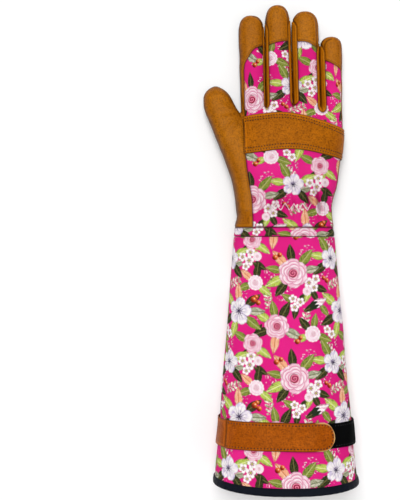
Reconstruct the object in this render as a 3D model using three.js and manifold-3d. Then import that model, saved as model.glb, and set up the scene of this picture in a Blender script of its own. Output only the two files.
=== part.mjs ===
// Rose pruning gauntlet for the right hand, lying palm down with its back up.
// Millimetres. +Z is up, +Y runs from the cuff to the fingertips, and the thumb is at -X.
// The glove has its own frame: x = 0 on the cuff's axis, y = 0 at the cuff's seam and z = 0 on the floor.
import * as THREE from 'three';
import { mergeVertices } from 'three/addons/utils/BufferGeometryUtils.js';
import Module from 'manifold-3d';

const wasm = await Module();
wasm.setup();

// Driving dimensions
const handLength = 229.5;      // cuff seam to the middle fingertip
const palmWidth = 100;         // across the knuckles, without the thumb
const palmDepth = 36;          // height of the back over the knuckles
const fingerDepth = 23.5;      // a finger's thickness at its root
const fingerSpacing = 0.9;     // free gap between two fingers
const cuffLength = 240;        // cuff seam to the hem
const seamWidth = 98.5;        // cuff's width at the hand
const seamDepth = 44.5;        // cuff's height at the hand
const hemWidth = 137;          // cuff's width at the hem
const hemDepth = 82;           // cuff's height at the hem
const leatherWall = 1.5;
const clothWall = 1.2;
const clearance = 0.3;         // between neighbouring pieces
const yokeHeight = 9;
const patchThickness = 2.8;    // padded palm patch
const channelWidth = 7;        // bare channel through the patch
const dropRadius = 11.5;       // the drop that the channel ends in
const sideInset = 3.6;         // seams lie this far in from a finger's side
const webLength = 8.3;         // the strips between the fingers start this far below their gap
const tipThickness = 1.0;      // touch fabric on the fingertips
const bandThickness = 1.3;     // leather across the knuckles
const strapThickness = 2.0;
const strapWidth = 26;
const strapFromHem = 54;       // strap's middle above the hem
const loopThickness = 1.2;
const loopWidth = 22.5;
const bindingThickness = 1.1;
const bindingHeight = 7.5;

// Sections
const handSides = 32;
const fingerSides = 10;
const thumbSides = 16;
const cuffSides = 40;
const roundness = 0.86;        // exponent of a section's sine and cosine: 1 is an ellipse, less is boxier
const sag = 1.13;              // how far a section's underside would bulge before the floor flattens it
const waistShare = 0.46;       // height of a section's widest place, as a share of its depth

const palmRest = patchThickness + clearance;   // the palm's leather lies this high, on its patch
const tipRest = tipThickness + clearance;      // three fingertips lie this high, on their touch fabric
const cuffRest = bindingThickness + clearance; // the cuff lies this high, on its binding

// Hand from the cuff's seam to the finger roots. along is a share of handLength, left and right are shares of
// palmWidth, top is a share of palmDepth, gather is the height of the elastic's ripples, and lift is 1 where
// the leather lies on its patch.
const handRows = [
  { along: -0.003, left: -0.492, right: 0.492, top: 1.278, gather: 0, lift: 0 },
  { along: 0.04, left: -0.486, right: 0.484, top: 1.25, gather: 0, lift: 1 },
  { along: 0.085, left: -0.462, right: 0.472, top: 1.2, gather: 0.025, lift: 1 },
  { along: 0.125, left: -0.452, right: 0.468, top: 1.14, gather: 0.04, lift: 1 },
  { along: 0.165, left: -0.45, right: 0.484, top: 1.17, gather: 0.03, lift: 1 },
  { along: 0.215, left: -0.447, right: 0.518, top: 1.17, gather: 0.008, lift: 1 },
  { along: 0.3, left: -0.44, right: 0.545, top: 1.13, gather: 0, lift: 1 },
  { along: 0.39, left: -0.432, right: 0.571, top: 1.07, gather: 0, lift: 1 },
  { along: 0.46, left: -0.424, right: 0.581, top: 0.985, gather: 0, lift: 1 },
  { along: 0.515, left: -0.418, right: 0.58, top: 0.865, gather: 0, lift: 1 },
  { along: 0.545, left: -0.412, right: 0.572, top: 0.76, gather: 0, lift: 1 },
  { along: 0.558, left: -0.395, right: 0.555, top: 0.6, gather: 0, lift: 1 },
];
const gatherCount = handSides / 4;   // ripples over the back of the wrist, a crest on every second corner
const crotchAlong = 0.558;           // where the finger gaps end

// Fingers. Roots and tips give their outer edges as shares of palmWidth, reach is a share of handLength,
// and fingerRest is the height of each underside above the floor.
const fingerTable = [
  { name: 'index', rootLeft: -0.426, rootRight: -0.171, tipLeft: -0.451, tipRight: -0.186, reach: 0.955 },
  { name: 'middle', rootLeft: -0.171, rootRight: 0.099, tipLeft: -0.186, tipRight: 0.069, reach: 1 },
  { name: 'ring', rootLeft: 0.099, rootRight: 0.369, tipLeft: 0.078, tipRight: 0.355, reach: 0.974 },
  { name: 'little', rootLeft: 0.369, rootRight: 0.584, tipLeft: 0.357, tipRight: 0.592, reach: 0.864 },
];
const fingerRest = [tipRest, tipRest, clearance, clearance];
const rootAlong = 0.42;              // a finger's form starts inside the hand
// One finger's profile from its crotch (0) to its tip (1), with its width and depth as shares of their sizes.
// raised says how much of the palm's height above the floor its underside keeps, and round where the tip's
// roundness begins, so that the tip lifts off the floor as it narrows.
const fingerProfile = [
  { from: 0, width: 1, depth: 0.96, raised: 0.9, round: 0 },
  { from: 0.3, width: 1, depth: 0.97, raised: 0.1, round: 0 },
  { from: 0.62, width: 1, depth: 0.91, raised: 0, round: 0 },
  { from: 0.84, width: 0.99, depth: 0.86, raised: 0, round: 0 },
  { from: 0.915, width: 0.9, depth: 0.79, raised: 0, round: 0.03 },
  { from: 0.966, width: 0.68, depth: 0.64, raised: 0, round: 0.1 },
  { from: 0.993, width: 0.38, depth: 0.4, raised: 0, round: 0.21 },
  { from: 1, width: 0.16, depth: 0.2, raised: 0, round: 0.3 },
];
const innerRaise = 1.25;             // inside the palm, an underside's height as a share of the palm's own

// Thumb beside the hand: along is a share of handLength, left and right of palmWidth, top of palmDepth
const thumbRows = [
  { along: 0.06, left: -0.45, right: -0.3, top: 0.82, low: 1 },
  { along: 0.12, left: -0.47, right: -0.25, top: 0.98, low: 1 },
  { along: 0.21, left: -0.497, right: -0.22, top: 1.0, low: 1 },
  { along: 0.318, left: -0.572, right: -0.25, top: 0.97, low: 1 },
  { along: 0.4, left: -0.648, right: -0.3, top: 0.93, low: 1 },
  { along: 0.465, left: -0.706, right: -0.35, top: 0.87, low: 1 },
  { along: 0.505, left: -0.741, right: -0.392, top: 0.81, low: 0.8 },
  { along: 0.535, left: -0.772, right: -0.437, top: 0.76, low: 0.4 },
  { along: 0.57, left: -0.792, right: -0.482, top: 0.73, low: 0 },
  { along: 0.6, left: -0.79, right: -0.516, top: 0.69, low: 0 },
  { along: 0.622, left: -0.772, right: -0.553, top: 0.62, low: 0 },
  { along: 0.638, left: -0.738, right: -0.594, top: 0.52, low: 0 },
  { along: 0.647, left: -0.7, right: -0.636, top: 0.42, low: 0 },
];

// A cuff's folds: how far from the seam to the hem (0 to 1), and how deep, as a share of the depth there
const cuffRows = [
  { from: 0, fold: 0 },
  { from: 0.16, fold: 0.01 },
  { from: 0.4, fold: 0.014 },
  { from: 0.66, fold: 0.014 },
  { from: 0.9, fold: 0.005 },
  { from: 1, fold: 0 },
];
const foldCount = 5;

const power = (value, exponent) => Math.sign(value) * Math.abs(value) ** exponent;

// One point of a closed section. grow moves the whole section outwards, or inwards when it is negative.
function sectionPoint(row, angle, grow) {
  const left = row.left - grow;
  const right = row.right + grow;
  const low = row.low - grow;
  const high = row.high + grow;
  const waist = low + (high - low) * waistShare;
  const up = Math.sin(angle);
  const x = (left + right) / 2 + ((right - left) / 2) * power(Math.cos(angle), roundness);
  if (up < 0) {
    return [x, Math.max(low, waist - (waist - low) * sag * power(-up, roundness))];
  }
  const ripple = row.gather * Math.cos(angle * gatherCount * 2) + row.fold * Math.cos(angle * foldCount);
  return [x, waist + (high - waist) * power(up, roundness) + ripple * up];
}

function asSolid(geometry) {
  const bare = geometry.clone();
  bare.deleteAttribute('normal');
  bare.deleteAttribute('uv');
  const merged = mergeVertices(bare, 1e-5);
  return new wasm.Manifold(new wasm.Mesh({
    numProp: 3,
    vertProperties: Float32Array.from(merged.attributes.position.array),
    triVerts: Uint32Array.from(merged.index.array),
  }));
}

function geometryOf(positions, triangles) {
  const geometry = new THREE.BufferGeometry();
  geometry.setAttribute('position', new THREE.Float32BufferAttribute(positions, 3));
  geometry.setIndex(triangles);
  return geometry;
}

// A closed form through rows of sections, each in a plane of constant y
function loft(rows, sides, grow, tipGrow = grow) {
  const positions = [];
  const triangles = [];
  const lastRow = rows.length - 1;
  rows.forEach((row, i) => {
    const y = row.y + (i === lastRow ? tipGrow : 0);
    for (let k = 0; k < sides; k += 1) {
      const [x, z] = sectionPoint(row, (2 * Math.PI * k) / sides, grow);
      positions.push(x, y, z);
    }
  });
  for (let i = 0; i < lastRow; i += 1) {
    for (let k = 0; k < sides; k += 1) {
      const a = i * sides + k;
      const b = i * sides + ((k + 1) % sides);
      triangles.push(a, a + sides, b, b, a + sides, b + sides);
    }
  }
  for (let k = 1; k < sides - 1; k += 1) {
    triangles.push(0, k, k + 1);
    const last = lastRow * sides;
    triangles.push(last, last + k + 1, last + k);
  }
  return asSolid(geometryOf(positions, triangles));
}

const handSection = (row) => ({
  y: row.along * handLength,
  left: row.left * palmWidth,
  right: row.right * palmWidth,
  low: cuffRest + (palmRest - cuffRest) * row.lift,
  high: row.top * palmDepth,
  gather: row.gather * palmDepth,
  fold: 0,
});

const thumbSection = (row) => ({
  y: row.along * handLength,
  left: row.left * palmWidth,
  right: row.right * palmWidth,
  low: tipRest + (palmRest * innerRaise - tipRest) * row.low,
  high: row.top * palmDepth,
  gather: 0,
  fold: 0,
});

// A finger's edges at y, as straight lines from its root to its tip
function fingerEdges(finger, y) {
  const crotch = crotchAlong * handLength;
  const share = (y - crotch) / (finger.reach * handLength - crotch);
  const left = (finger.rootLeft + (finger.tipLeft - finger.rootLeft) * share) * palmWidth;
  const right = (finger.rootRight + (finger.tipRight - finger.rootRight) * share) * palmWidth;
  return [left + fingerSpacing / 2, right - fingerSpacing / 2];
}

function fingerSections(finger) {
  const crotch = crotchAlong * handLength;
  const tip = finger.reach * handLength;
  const rest = fingerRest[fingerTable.indexOf(finger)];
  const rootFrom = (rootAlong * handLength - crotch) / (tip - crotch);
  const root = { from: rootFrom, width: 0.94, depth: 0.9, raised: 1, round: 0 };
  return [root, ...fingerProfile].map((step) => {
    const y = crotch + (tip - crotch) * step.from;
    const [left, right] = fingerEdges(finger, y);
    const middle = (left + right) / 2;
    const half = ((right - left) / 2) * step.width;
    const low = rest + (palmRest * innerRaise - rest) * step.raised + fingerDepth * step.round;
    const high = low + fingerDepth * step.depth;
    return { y, left: middle - half, right: middle + half, low, high, gather: 0, fold: 0 };
  });
}

const cuffSection = (step) => {
  const depth = seamDepth + (hemDepth - seamDepth) * step.from;
  const width = seamWidth + (hemWidth - seamWidth) * step.from;
  return {
    y: -step.from * cuffLength,
    left: -width / 2,
    right: width / 2,
    low: cuffRest,
    high: cuffRest + depth,
    gather: 0,
    fold: step.fold * depth,
  };
};

const thumbForm = (grow) => loft(thumbRows.map(thumbSection), thumbSides, grow);

// The whole hand's form: palm, four fingers and thumb, grown by one distance
function handForm(grow) {
  let form = loft(handRows.map(handSection), handSides, grow);
  for (const finger of fingerTable) {
    form = form.add(loft(fingerSections(finger), fingerSides, grow));
  }
  return form.add(thumbForm(grow));
}

// A prism over an outline of [x, y] corners, from one height to another
function prism(outline, low, high) {
  const shape = new THREE.Shape(outline.map(([x, y]) => new THREE.Vector2(x, y)));
  const geometry = new THREE.ExtrudeGeometry(shape, { depth: high - low, bevelEnabled: false });
  geometry.translate(0, 0, low);
  return asSolid(geometry);
}

const away = Math.max(handLength, cuffLength, palmWidth * 2);   // beyond the glove on any side
const splitHeight = tipRest + fingerDepth / 2;                  // palm and back part at a finger's mid height
const clothFloor = splitHeight + fingerDepth * 0.17;            // clear of the side walls' lower bend
const half = clearance / 2;
const across = (share) => share * palmWidth;
const along = (share) => share * handLength;
const belowLine = (y) => [[-away, -away], [away, -away], [away, y], [-away, y]];

const mouth = prism(belowLine(0), -away, away);
const shell = handForm(0).subtract(handForm(-leatherWall)).subtract(mouth);

// Seam between thumb leather and back cloth, from the yoke to the thumb's crotch, and the crotch itself
const thumbSeam = [
  { x: -0.318, y: 0 },
  { x: -0.321, y: 0.144 },
  { x: -0.349, y: 0.222 },
  { x: -0.386, y: 0.335 },
  { x: -0.389, y: 0.49 },
  { x: -0.389, y: 0.541 },
];
const thumbCrotch = { x: -0.402, y: 0.549 };
const thumbFree = { x: -0.47, y: 0.75 };       // between the thumb and the index finger, past the thumb's tip
// Where the leather turned over each fingertip begins, at the finger's left, middle and right
const capSeams = [
  { left: 0.745, middle: 0.798, right: 0.818 },
  { left: 0.822, middle: 0.832, right: 0.84 },
  { left: 0.838, middle: 0.832, right: 0.812 },
  { left: 0.752, middle: 0.738, right: 0.71 },
];
const capLength = 0.035;       // from a strip's upper end between two fingers to the shorter one's tip

// Back cloth: one outline from the yoke up the four fingers. shrink moves it in on all sides.
function backOutline(shrink) {
  const seam = thumbSeam;
  const bottom = yokeHeight + shrink;
  const outline = seam.map((point) => [across(point.x) + shrink, Math.max(along(point.y), bottom)]);
  const base = along(crotchAlong) - webLength / 2 - shrink;
  const inset = sideInset + shrink;
  fingerTable.forEach((finger, i) => {
    const edge = (share, side) => fingerEdges(finger, along(share))[side] + (side === 0 ? inset : -inset);
    const caps = capSeams[i];
    if (i > 0) {
      outline.push([edge(crotchAlong, 0), base]);
    }
    outline.push([edge(caps.left, 0), along(caps.left) - shrink]);
    outline.push([(edge(caps.middle, 0) + edge(caps.middle, 1)) / 2, along(caps.middle) - shrink]);
    outline.push([edge(caps.right, 1), along(caps.right) - shrink]);
    if (i < fingerTable.length - 1) {
      outline.push([edge(crotchAlong, 1), base]);
    }
  });
  const outerSide = handRows.filter((row) => along(row.along) > bottom && row.along < crotchAlong);
  for (const row of outerSide.reverse()) {
    outline.push([across(row.right) - inset, along(row.along)]);
  }
  outline.push([across(handRows[1].right) - inset, bottom]);
  return outline.reverse();
}

// Fourchette: what lies between the seams of two neighbouring fingers
function fourchetteOutline(first, second, shrink) {
  const start = along(crotchAlong) - webLength;
  const end = along(Math.min(first.reach, second.reach) - capLength);
  const inset = sideInset - shrink;
  const steps = [start, (start + end) / 2, end];
  const left = steps.map((y) => [fingerEdges(first, y)[1] - inset, y]);
  const right = steps.map((y) => [fingerEdges(second, y)[0] + inset, y]);
  return [...left.reverse(), ...right];
}

const thumbOutline = (shrink) => [
  [-away, -away],
  [across(thumbSeam[0].x) - shrink, -away],
  ...thumbSeam.map((point) => [across(point.x) - shrink, along(point.y)]),
  [across(thumbCrotch.x) - shrink, along(thumbCrotch.y)],
  [across(thumbFree.x), along(thumbFree.y)],
  [-away, along(thumbFree.y)],
];

// The shell is parted along its seams, each piece half a clearance short of the seam
const pairs = fingerTable.slice(1).map((finger, i) => [fingerTable[i], finger]);
const strips = (shrink) => pairs.map((pair) => prism(fourchetteOutline(...pair, shrink), -away, away));
const yokeZone = (shrink) => prism(belowLine(yokeHeight - shrink), splitHeight + shrink, away);
const thumbZone = (shrink) => prism(thumbOutline(shrink), splitHeight + shrink, away);
const backZone = (shrink) => prism(backOutline(shrink), clothFloor, away);
const fourchettes = strips(half).map((strip) => shell.intersect(strip));
const yoke = shell.intersect(yokeZone(half)).subtract(prism(belowLine(half * 2), -away, away));
const thumb = shell.intersect(thumbZone(half)).subtract(yokeZone(-half));
const without = (solid, zones) => zones.reduce((rest, zone) => rest.subtract(zone), solid);
const backCloth = without(shell.intersect(backZone(half)), strips(-half));
const front = without(shell, [yokeZone(-half), thumbZone(-half), backZone(-half), ...strips(-half)]);

// The front leather is parted across each finger's root, and where the thumb leaves the palm
const rootLine = (shrink) => along(crotchAlong) - webLength * 0.62 + shrink;
function fingerFrontOutline(finger, shrink) {
  const foot = rootLine(shrink);
  const top = along(finger.reach) + fingerDepth;
  const side = (y, k) => fingerEdges(finger, y)[k] + (k ? fingerSpacing : -fingerSpacing) / 2;
  return [[side(foot, 0), foot], [side(foot, 1), foot], [side(top, 1), top], [side(top, 0), top]];
}
const thumbFrontLine = [
  { x: -0.45, y: 0.565 },
  { x: -0.428, y: 0.54 },
  { x: -0.417, y: 0.517 },
  { x: -0.455, y: 0.44 },
  { x: -0.535, y: 0.335 },
  { x: -0.62, y: 0.26 },
];
const thumbFrontOutline = (shrink) => [
  ...[...thumbFrontLine].reverse().map((point) => [across(point.x) - shrink, along(point.y) + shrink]),
  [across(thumbFree.x), along(thumbFree.y)],
  [-away, along(thumbFree.y)],
  [-away, along(thumbFrontLine[thumbFrontLine.length - 1].y) + shrink],
];
const fingerZone = (finger, shrink) => prism(fingerFrontOutline(finger, shrink), -away, away);
const fingerFronts = fingerTable.map((finger) => front.intersect(fingerZone(finger, half)));
const thumbFront = front.intersect(prism(thumbFrontOutline(half), -away, away));
const palm = front.intersect(prism(belowLine(rootLine(-half)), -away, away))
  .subtract(prism(thumbFrontOutline(-half), -away, away));

// The back cloth is parted under the knuckle band
const underBand = 0.44;
const handCloth = backCloth.intersect(prism(belowLine(along(underBand) - half), -away, away));
const fingerCloth = backCloth.subtract(prism(belowLine(along(underBand) + half), -away, away));

// Knuckle band: a strip that lies on the back cloth, from the thumb's seam to the hand's outer side
const bandEdge = [
  { x: -0.389, top: 0.514, bottom: 0.349 },
  { x: -0.2, top: 0.522, bottom: 0.358 },
  { x: -0.03, top: 0.527, bottom: 0.366 },
  { x: 0.17, top: 0.515, bottom: 0.363 },
  { x: 0.38, top: 0.488, bottom: 0.345 },
  { x: 0.62, top: 0.452, bottom: 0.32 },
];
const bandOutline = [
  ...bandEdge.map((point) => [across(point.x), along(point.bottom)]),
  ...[...bandEdge].reverse().map((point) => [across(point.x), along(point.top)]),
];
const overHand = handForm(clearance);
const bandFloor = splitHeight + palmDepth * 0.12;   // the band ends this high on the hand's outer side
const band = handForm(clearance + bandThickness)
  .intersect(prism(bandOutline, bandFloor, away))
  .subtract(overHand);

// Palm patch: a padded piece, cut by a channel that runs in from the thumb's side and ends in a drop.
// The points are shares of palmWidth across and of handLength along.
const patchCorners = [
  { x: -0.325, y: 0.503 },
  { x: -0.17, y: 0.508 },
  { x: 0.035, y: 0.52 },
  { x: 0.24, y: 0.487 },
  { x: 0.391, y: 0.48 },
  { x: 0.5, y: 0.42 },
  { x: 0.46, y: 0.27 },
  { x: 0.4, y: 0.149 },
  { x: 0.25, y: 0.113 },
  { x: 0.022, y: 0.107 },
  { x: -0.195, y: 0.181 },
  { x: -0.34, y: 0.33 },
];
const channelPath = [
  { x: -0.5, y: 0.408 },
  { x: -0.083, y: 0.4 },
  { x: 0.15, y: 0.384 },
  { x: 0.29, y: 0.352 },
  { x: 0.33, y: 0.3 },
  { x: 0.25, y: 0.235 },
];
const patchPoints = 36;
const channelPoints = 12;
const dropSides = 12;
const placed = (points) => points.map((point) => new THREE.Vector3(across(point.x), along(point.y), 0));
const patchCurve = new THREE.CatmullRomCurve3(placed(patchCorners), true);
const patchOutline = patchCurve.getPoints(patchPoints).slice(1).map((point) => [point.x, point.y]).reverse();
const channelCurve = new THREE.CatmullRomCurve3(placed(channelPath));
function channelSide(side) {
  const points = [];
  for (let i = 0; i <= channelPoints; i += 1) {
    const at = channelCurve.getPoint(i / channelPoints);
    const way = channelCurve.getTangent(i / channelPoints);
    points.push([at.x - (way.y * side * channelWidth) / 2, at.y + (way.x * side * channelWidth) / 2]);
  }
  return points;
}
const dropCentre = placed(channelPath.slice(-1))[0];
const drop = new THREE.CylinderGeometry(dropRadius, dropRadius, away, dropSides);
drop.rotateX(Math.PI / 2);
drop.translate(dropCentre.x, dropCentre.y, 0);
const patchCeiling = palmRest + palmDepth * 0.16;   // the patch wraps this high up the hand's side
const patch = loft(handRows.map(handSection), handSides, clearance + patchThickness)
  .intersect(prism(patchOutline, -away, patchCeiling))
  .subtract(prism([...channelSide(-1), ...channelSide(1).reverse()], -away, away))
  .subtract(asSolid(drop))
  .subtract(overHand);

// Touch fabric under three fingertips: it starts at a share of handLength, at the finger's left and right
const touchTable = [
  { name: 'touch_tip_thumb', fromLeft: 0.5, fromRight: 0.56 },
  { name: 'touch_tip_index', finger: fingerTable[0], fromLeft: 0.815, fromRight: 0.84 },
  { name: 'touch_tip_middle', finger: fingerTable[1], fromLeft: 0.868, fromRight: 0.868 },
];
const touchTips = touchTable.map((tip) => {
  const form = tip.finger ? loft(fingerSections(tip.finger), fingerSides, tipRest) : thumbForm(tipRest);
  const start = along(Math.min(tip.fromLeft, tip.fromRight));
  const end = handLength + palmWidth;
  const free = fingerSpacing / 2 - half;
  const thumbSide = [-away, across(thumbFree.x)];
  const side = (y, k) => (tip.finger ? fingerEdges(tip.finger, y)[k] + (k ? free : -free) : thumbSide[k]);
  const reach = [
    [side(start, 0), along(tip.fromLeft)],
    [side(start, 1), along(tip.fromRight)],
    [side(end, 1), end],
    [side(end, 0), end],
  ];
  return form.subtract(overHand).intersect(prism(reach, -away, tipRest + fingerDepth * 0.2));
});

// Cuff: a tube of cloth, with its underside flat where it lies
const cuffSections = cuffRows.map(cuffSection);
const hemSection = cuffSections[cuffSections.length - 1];
function cuffForm(grow, from, to) {
  const rows = cuffSections.map((row) => ({ ...row })).reverse();
  const solid = loft([{ ...rows[0], y: rows[0].y - away }, ...rows, { ...rows[rows.length - 1], y: away }],
    cuffSides, grow, 0);
  return solid.intersect(prism([[-away, from], [away, from], [away, to], [-away, to]], -away, away * 2));
}
const hemEnd = hemSection.y + bindingThickness + clearance;
const cuff = cuffForm(0, hemEnd, -half * 2).subtract(cuffForm(-clothWall, -away * 2, away));

// Binding: a folded tape with its open side up the cuff
const bindingOuter = clearance + bindingThickness;
const bindingInner = -clothWall - clearance - bindingThickness;
const bindingTop = hemSection.y + bindingHeight;
const binding = cuffForm(bindingOuter, hemSection.y, bindingTop)
  .subtract(cuffForm(bindingInner, -away * 2, away))
  .subtract(cuffForm(clearance, hemEnd - clearance, away)
    .subtract(cuffForm(-clothWall - clearance, -away * 2, away)));

// A point on the cuff's facets at any y and angle in degrees, moved outwards by grow
const facet = 360 / cuffSides;
function cuffPoint(y, degrees, grow) {
  const from = -y / cuffLength;
  const next = Math.max(1, cuffRows.findIndex((row) => row.from >= from));
  const before = cuffRows[next - 1];
  const share = (from - before.from) / (cuffRows[next].from - before.from);
  const row = cuffSection({ from, fold: 0 });
  row.fold = cuffSections[next - 1].fold + (cuffSections[next].fold - cuffSections[next - 1].fold) * share;
  const first = Math.floor(degrees / facet) * facet;
  const turn = (degrees - first) / facet;
  const start = sectionPoint(row, THREE.MathUtils.degToRad(first), grow);
  const end = sectionPoint(row, THREE.MathUtils.degToRad(first + facet), grow);
  return start.map((value, k) => value + (end[k] - value) * turn);
}

// A flat strap round the cuff: steps give the angle about the cuff's axis in degrees, the lift off the cloth
// and how much of the width is left there
function ribbon(steps, middle, width, thickness) {
  const positions = [];
  const triangles = [];
  const corner = (step, side, grow) => {
    const y = middle + (side * width * step.width) / 2;
    const [x, z] = cuffPoint(y, step.angle, grow);
    positions.push(x, y, z);
  };
  for (const step of steps) {
    corner(step, -1, step.lift);
    corner(step, 1, step.lift);
    corner(step, 1, step.lift + thickness);
    corner(step, -1, step.lift + thickness);
  }
  for (let i = 0; i < steps.length - 1; i += 1) {
    for (let k = 0; k < 4; k += 1) {
      const a = i * 4 + k;
      const b = i * 4 + ((k + 1) % 4);
      triangles.push(a, b, a + 4, b, b + 4, a + 4);
    }
  }
  const last = (steps.length - 1) * 4;
  triangles.push(0, 2, 1, 0, 3, 2, last, last + 1, last + 2, last, last + 2, last + 3);
  return asSolid(geometryOf(positions, triangles));
}

// Where the strap and the loop patch begin and end, in facets about the cuff's axis from its thumbless side
const strapMiddle = -cuffLength + strapFromHem;
const loopFacets = { first: -3, last: 8 };
const strapFacets = { first: 23, round: 7.4, last: 6 };
const riseFacets = { low: 11, high: 9 };   // the strap climbs onto the loop patch between these
const liftOver = clearance * 2 + loopThickness;
const strapSteps = [];
for (let k = strapFacets.first; k > strapFacets.round; k -= 1) {
  const share = Math.min(1, Math.max(0, (riseFacets.low - k) / (riseFacets.low - riseFacets.high)));
  strapSteps.push({ angle: k * facet, width: 1, lift: clearance + (liftOver - clearance) * share });
}
// The strap's end is round: its width follows a circle over the last stretch
for (const turn of [0, 0.35, 0.62, 0.82, 0.94, 1]) {
  const k = strapFacets.round + (strapFacets.last - strapFacets.round) * turn;
  strapSteps.push({ angle: k * facet, width: Math.max(0.16, Math.sqrt(1 - turn * turn)), lift: liftOver });
}
const strap = ribbon(strapSteps, strapMiddle, strapWidth, strapThickness);
const loopSteps = [];
for (let k = loopFacets.last; k >= loopFacets.first; k -= 1) {
  loopSteps.push({ angle: k * facet, width: 1, lift: clearance });
}
const loop = ribbon(loopSteps, strapMiddle, loopWidth, loopThickness);

// Materials
const material = (color, roughness) => new THREE.MeshStandardMaterial({ color, roughness, metalness: 0 });
const leather = material(0xa8651c, 0.62);
const print = material(0xe31c86, 0.8);
const touch = material(0x17161a, 0.75);
const loopTape = material(0x0c0c0e, 0.95);
const navy = material(0x141c33, 0.7);

const group = new THREE.Group();
function addPiece(name, solid, finish) {
  const found = solid.getMesh();
  const geometry = geometryOf(Array.from(found.vertProperties), Array.from(found.triVerts));
  const mesh = new THREE.Mesh(geometry, finish);
  mesh.name = name;
  group.add(mesh);
}

addPiece('palm_leather', palm, leather);
addPiece('thumb_front_leather', thumbFront, leather);
fingerTable.forEach((finger, i) => addPiece(`${finger.name}_front_leather`, fingerFronts[i], leather));
addPiece('thumb_leather', thumb, leather);
addPiece('back_cloth', handCloth, print);
addPiece('finger_cloth', fingerCloth, print);
pairs.forEach(([first, second], i) => {
  addPiece(`fourchette_${first.name}_${second.name}`, fourchettes[i], leather);
});
addPiece('knuckle_band', band, leather);
addPiece('palm_patch', patch, leather);
touchTable.forEach((tip, i) => addPiece(tip.name, touchTips[i], touch));
addPiece('wrist_yoke', yoke, print);
addPiece('cuff', cuff, print);
addPiece('strap', strap, leather);
addPiece('loop_patch', loop, loopTape);
addPiece('hem_binding', binding, navy);

// The origin is under the middle of the glove's box
const box = new THREE.Box3().setFromObject(group);
const middle = box.getCenter(new THREE.Vector3());
group.position.set(-middle.x, -middle.y, -box.min.z);

export default group;
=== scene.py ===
"""Rose pruning gauntlet, right hand, lying palm down. Every length below is in millimetres in the glove's own
frame (x = 0 on the cuff's axis, y = 0 at the cuff's seam, z = 0 on the floor) until make() turns it into metres."""
import bpy
import math
import random
from functools import partial
import numpy as np
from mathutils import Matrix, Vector
from mathutils.bvhtree import BVHTree
from mathutils.kdtree import KDTree


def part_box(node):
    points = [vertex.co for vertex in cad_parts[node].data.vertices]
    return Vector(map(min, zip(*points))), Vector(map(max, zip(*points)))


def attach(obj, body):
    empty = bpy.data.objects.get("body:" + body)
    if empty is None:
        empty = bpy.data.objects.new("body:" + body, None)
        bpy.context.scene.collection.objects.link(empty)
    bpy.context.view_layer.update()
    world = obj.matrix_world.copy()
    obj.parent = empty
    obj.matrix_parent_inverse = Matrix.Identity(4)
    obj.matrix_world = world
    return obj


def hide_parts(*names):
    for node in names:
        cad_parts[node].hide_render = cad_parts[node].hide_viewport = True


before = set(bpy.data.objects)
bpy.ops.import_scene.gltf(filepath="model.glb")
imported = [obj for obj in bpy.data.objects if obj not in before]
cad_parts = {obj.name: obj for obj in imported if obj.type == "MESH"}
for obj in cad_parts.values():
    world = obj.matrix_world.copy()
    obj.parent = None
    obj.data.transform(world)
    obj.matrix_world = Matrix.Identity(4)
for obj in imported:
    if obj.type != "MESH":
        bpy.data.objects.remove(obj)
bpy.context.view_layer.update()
scene = bpy.context.scene

# ---------------------------------------------------------------- sizes, named as in the CAD source
CLEARANCE, LEATHER, CLOTH = 0.3, 1.5, 1.2
HAND, PALM, PALM_DEPTH, FINGER_DEPTH, SPACING = 229.5, 100.0, 36.0, 23.5, 0.9
CUFF, SEAM_W, SEAM_D, HEM_W, HEM_D = 240.0, 98.5, 44.5, 137.0, 82.0
YOKE, PATCH, CHANNEL, DROP = 9.0, 2.8, 7.0, 11.5
TIP, BAND, STRAP_T, STRAP_W, STRAP_UP = 1.0, 1.3, 2.0, 26.0, 54.0
LOOP_T, LOOP_W, BIND_T, BIND_H = 1.2, 22.5, 1.1, 7.5
ROUND, SAG, WAIST = 0.86, 1.13, 0.46
PALM_REST, TIP_REST, CUFF_REST = PATCH + CLEARANCE, TIP + CLEARANCE, BIND_T + CLEARANCE
CROTCH, ROOT, INNER = 0.558, 0.42, 1.25
CROTCH_Y = CROTCH * HAND
SPLIT = TIP_REST + FINGER_DEPTH / 2
CLOTH_FLOOR = SPLIT + FINGER_DEPTH * 0.17

# The glove's frame against the row's frame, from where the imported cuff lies
cuff_low, cuff_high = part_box("cuff")
SHIFT = np.array([(cuff_low.x + cuff_high.x) * 500, cuff_high.y * 1000 + CLEARANCE, 0.0])
PHOTO_MIDDLE = (-82.4, -12.9)          # what the photo's middle looks down on, in the glove's frame

HAND_ROWS = np.array([  # along, left, right, top, lift
    (-0.003, -0.492, 0.492, 1.278, 0), (0.04, -0.486, 0.484, 1.25, 1), (0.085, -0.462, 0.472, 1.2, 1),
    (0.125, -0.452, 0.468, 1.14, 1), (0.165, -0.45, 0.484, 1.17, 1), (0.215, -0.447, 0.518, 1.17, 1),
    (0.3, -0.44, 0.545, 1.13, 1), (0.39, -0.432, 0.571, 1.07, 1), (0.46, -0.424, 0.581, 0.985, 1),
    (0.515, -0.418, 0.58, 0.865, 1), (0.545, -0.412, 0.572, 0.76, 1), (0.558, -0.395, 0.555, 0.6, 1)])
FINGERS = [  # rootLeft, rootRight, tipLeft, tipRight, reach, height above the floor
    (-0.426, -0.171, -0.451, -0.186, 0.955, TIP_REST), (-0.171, 0.099, -0.186, 0.069, 1.0, TIP_REST),
    (0.099, 0.369, 0.078, 0.355, 0.974, CLEARANCE), (0.369, 0.584, 0.357, 0.592, 0.864, CLEARANCE)]
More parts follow.
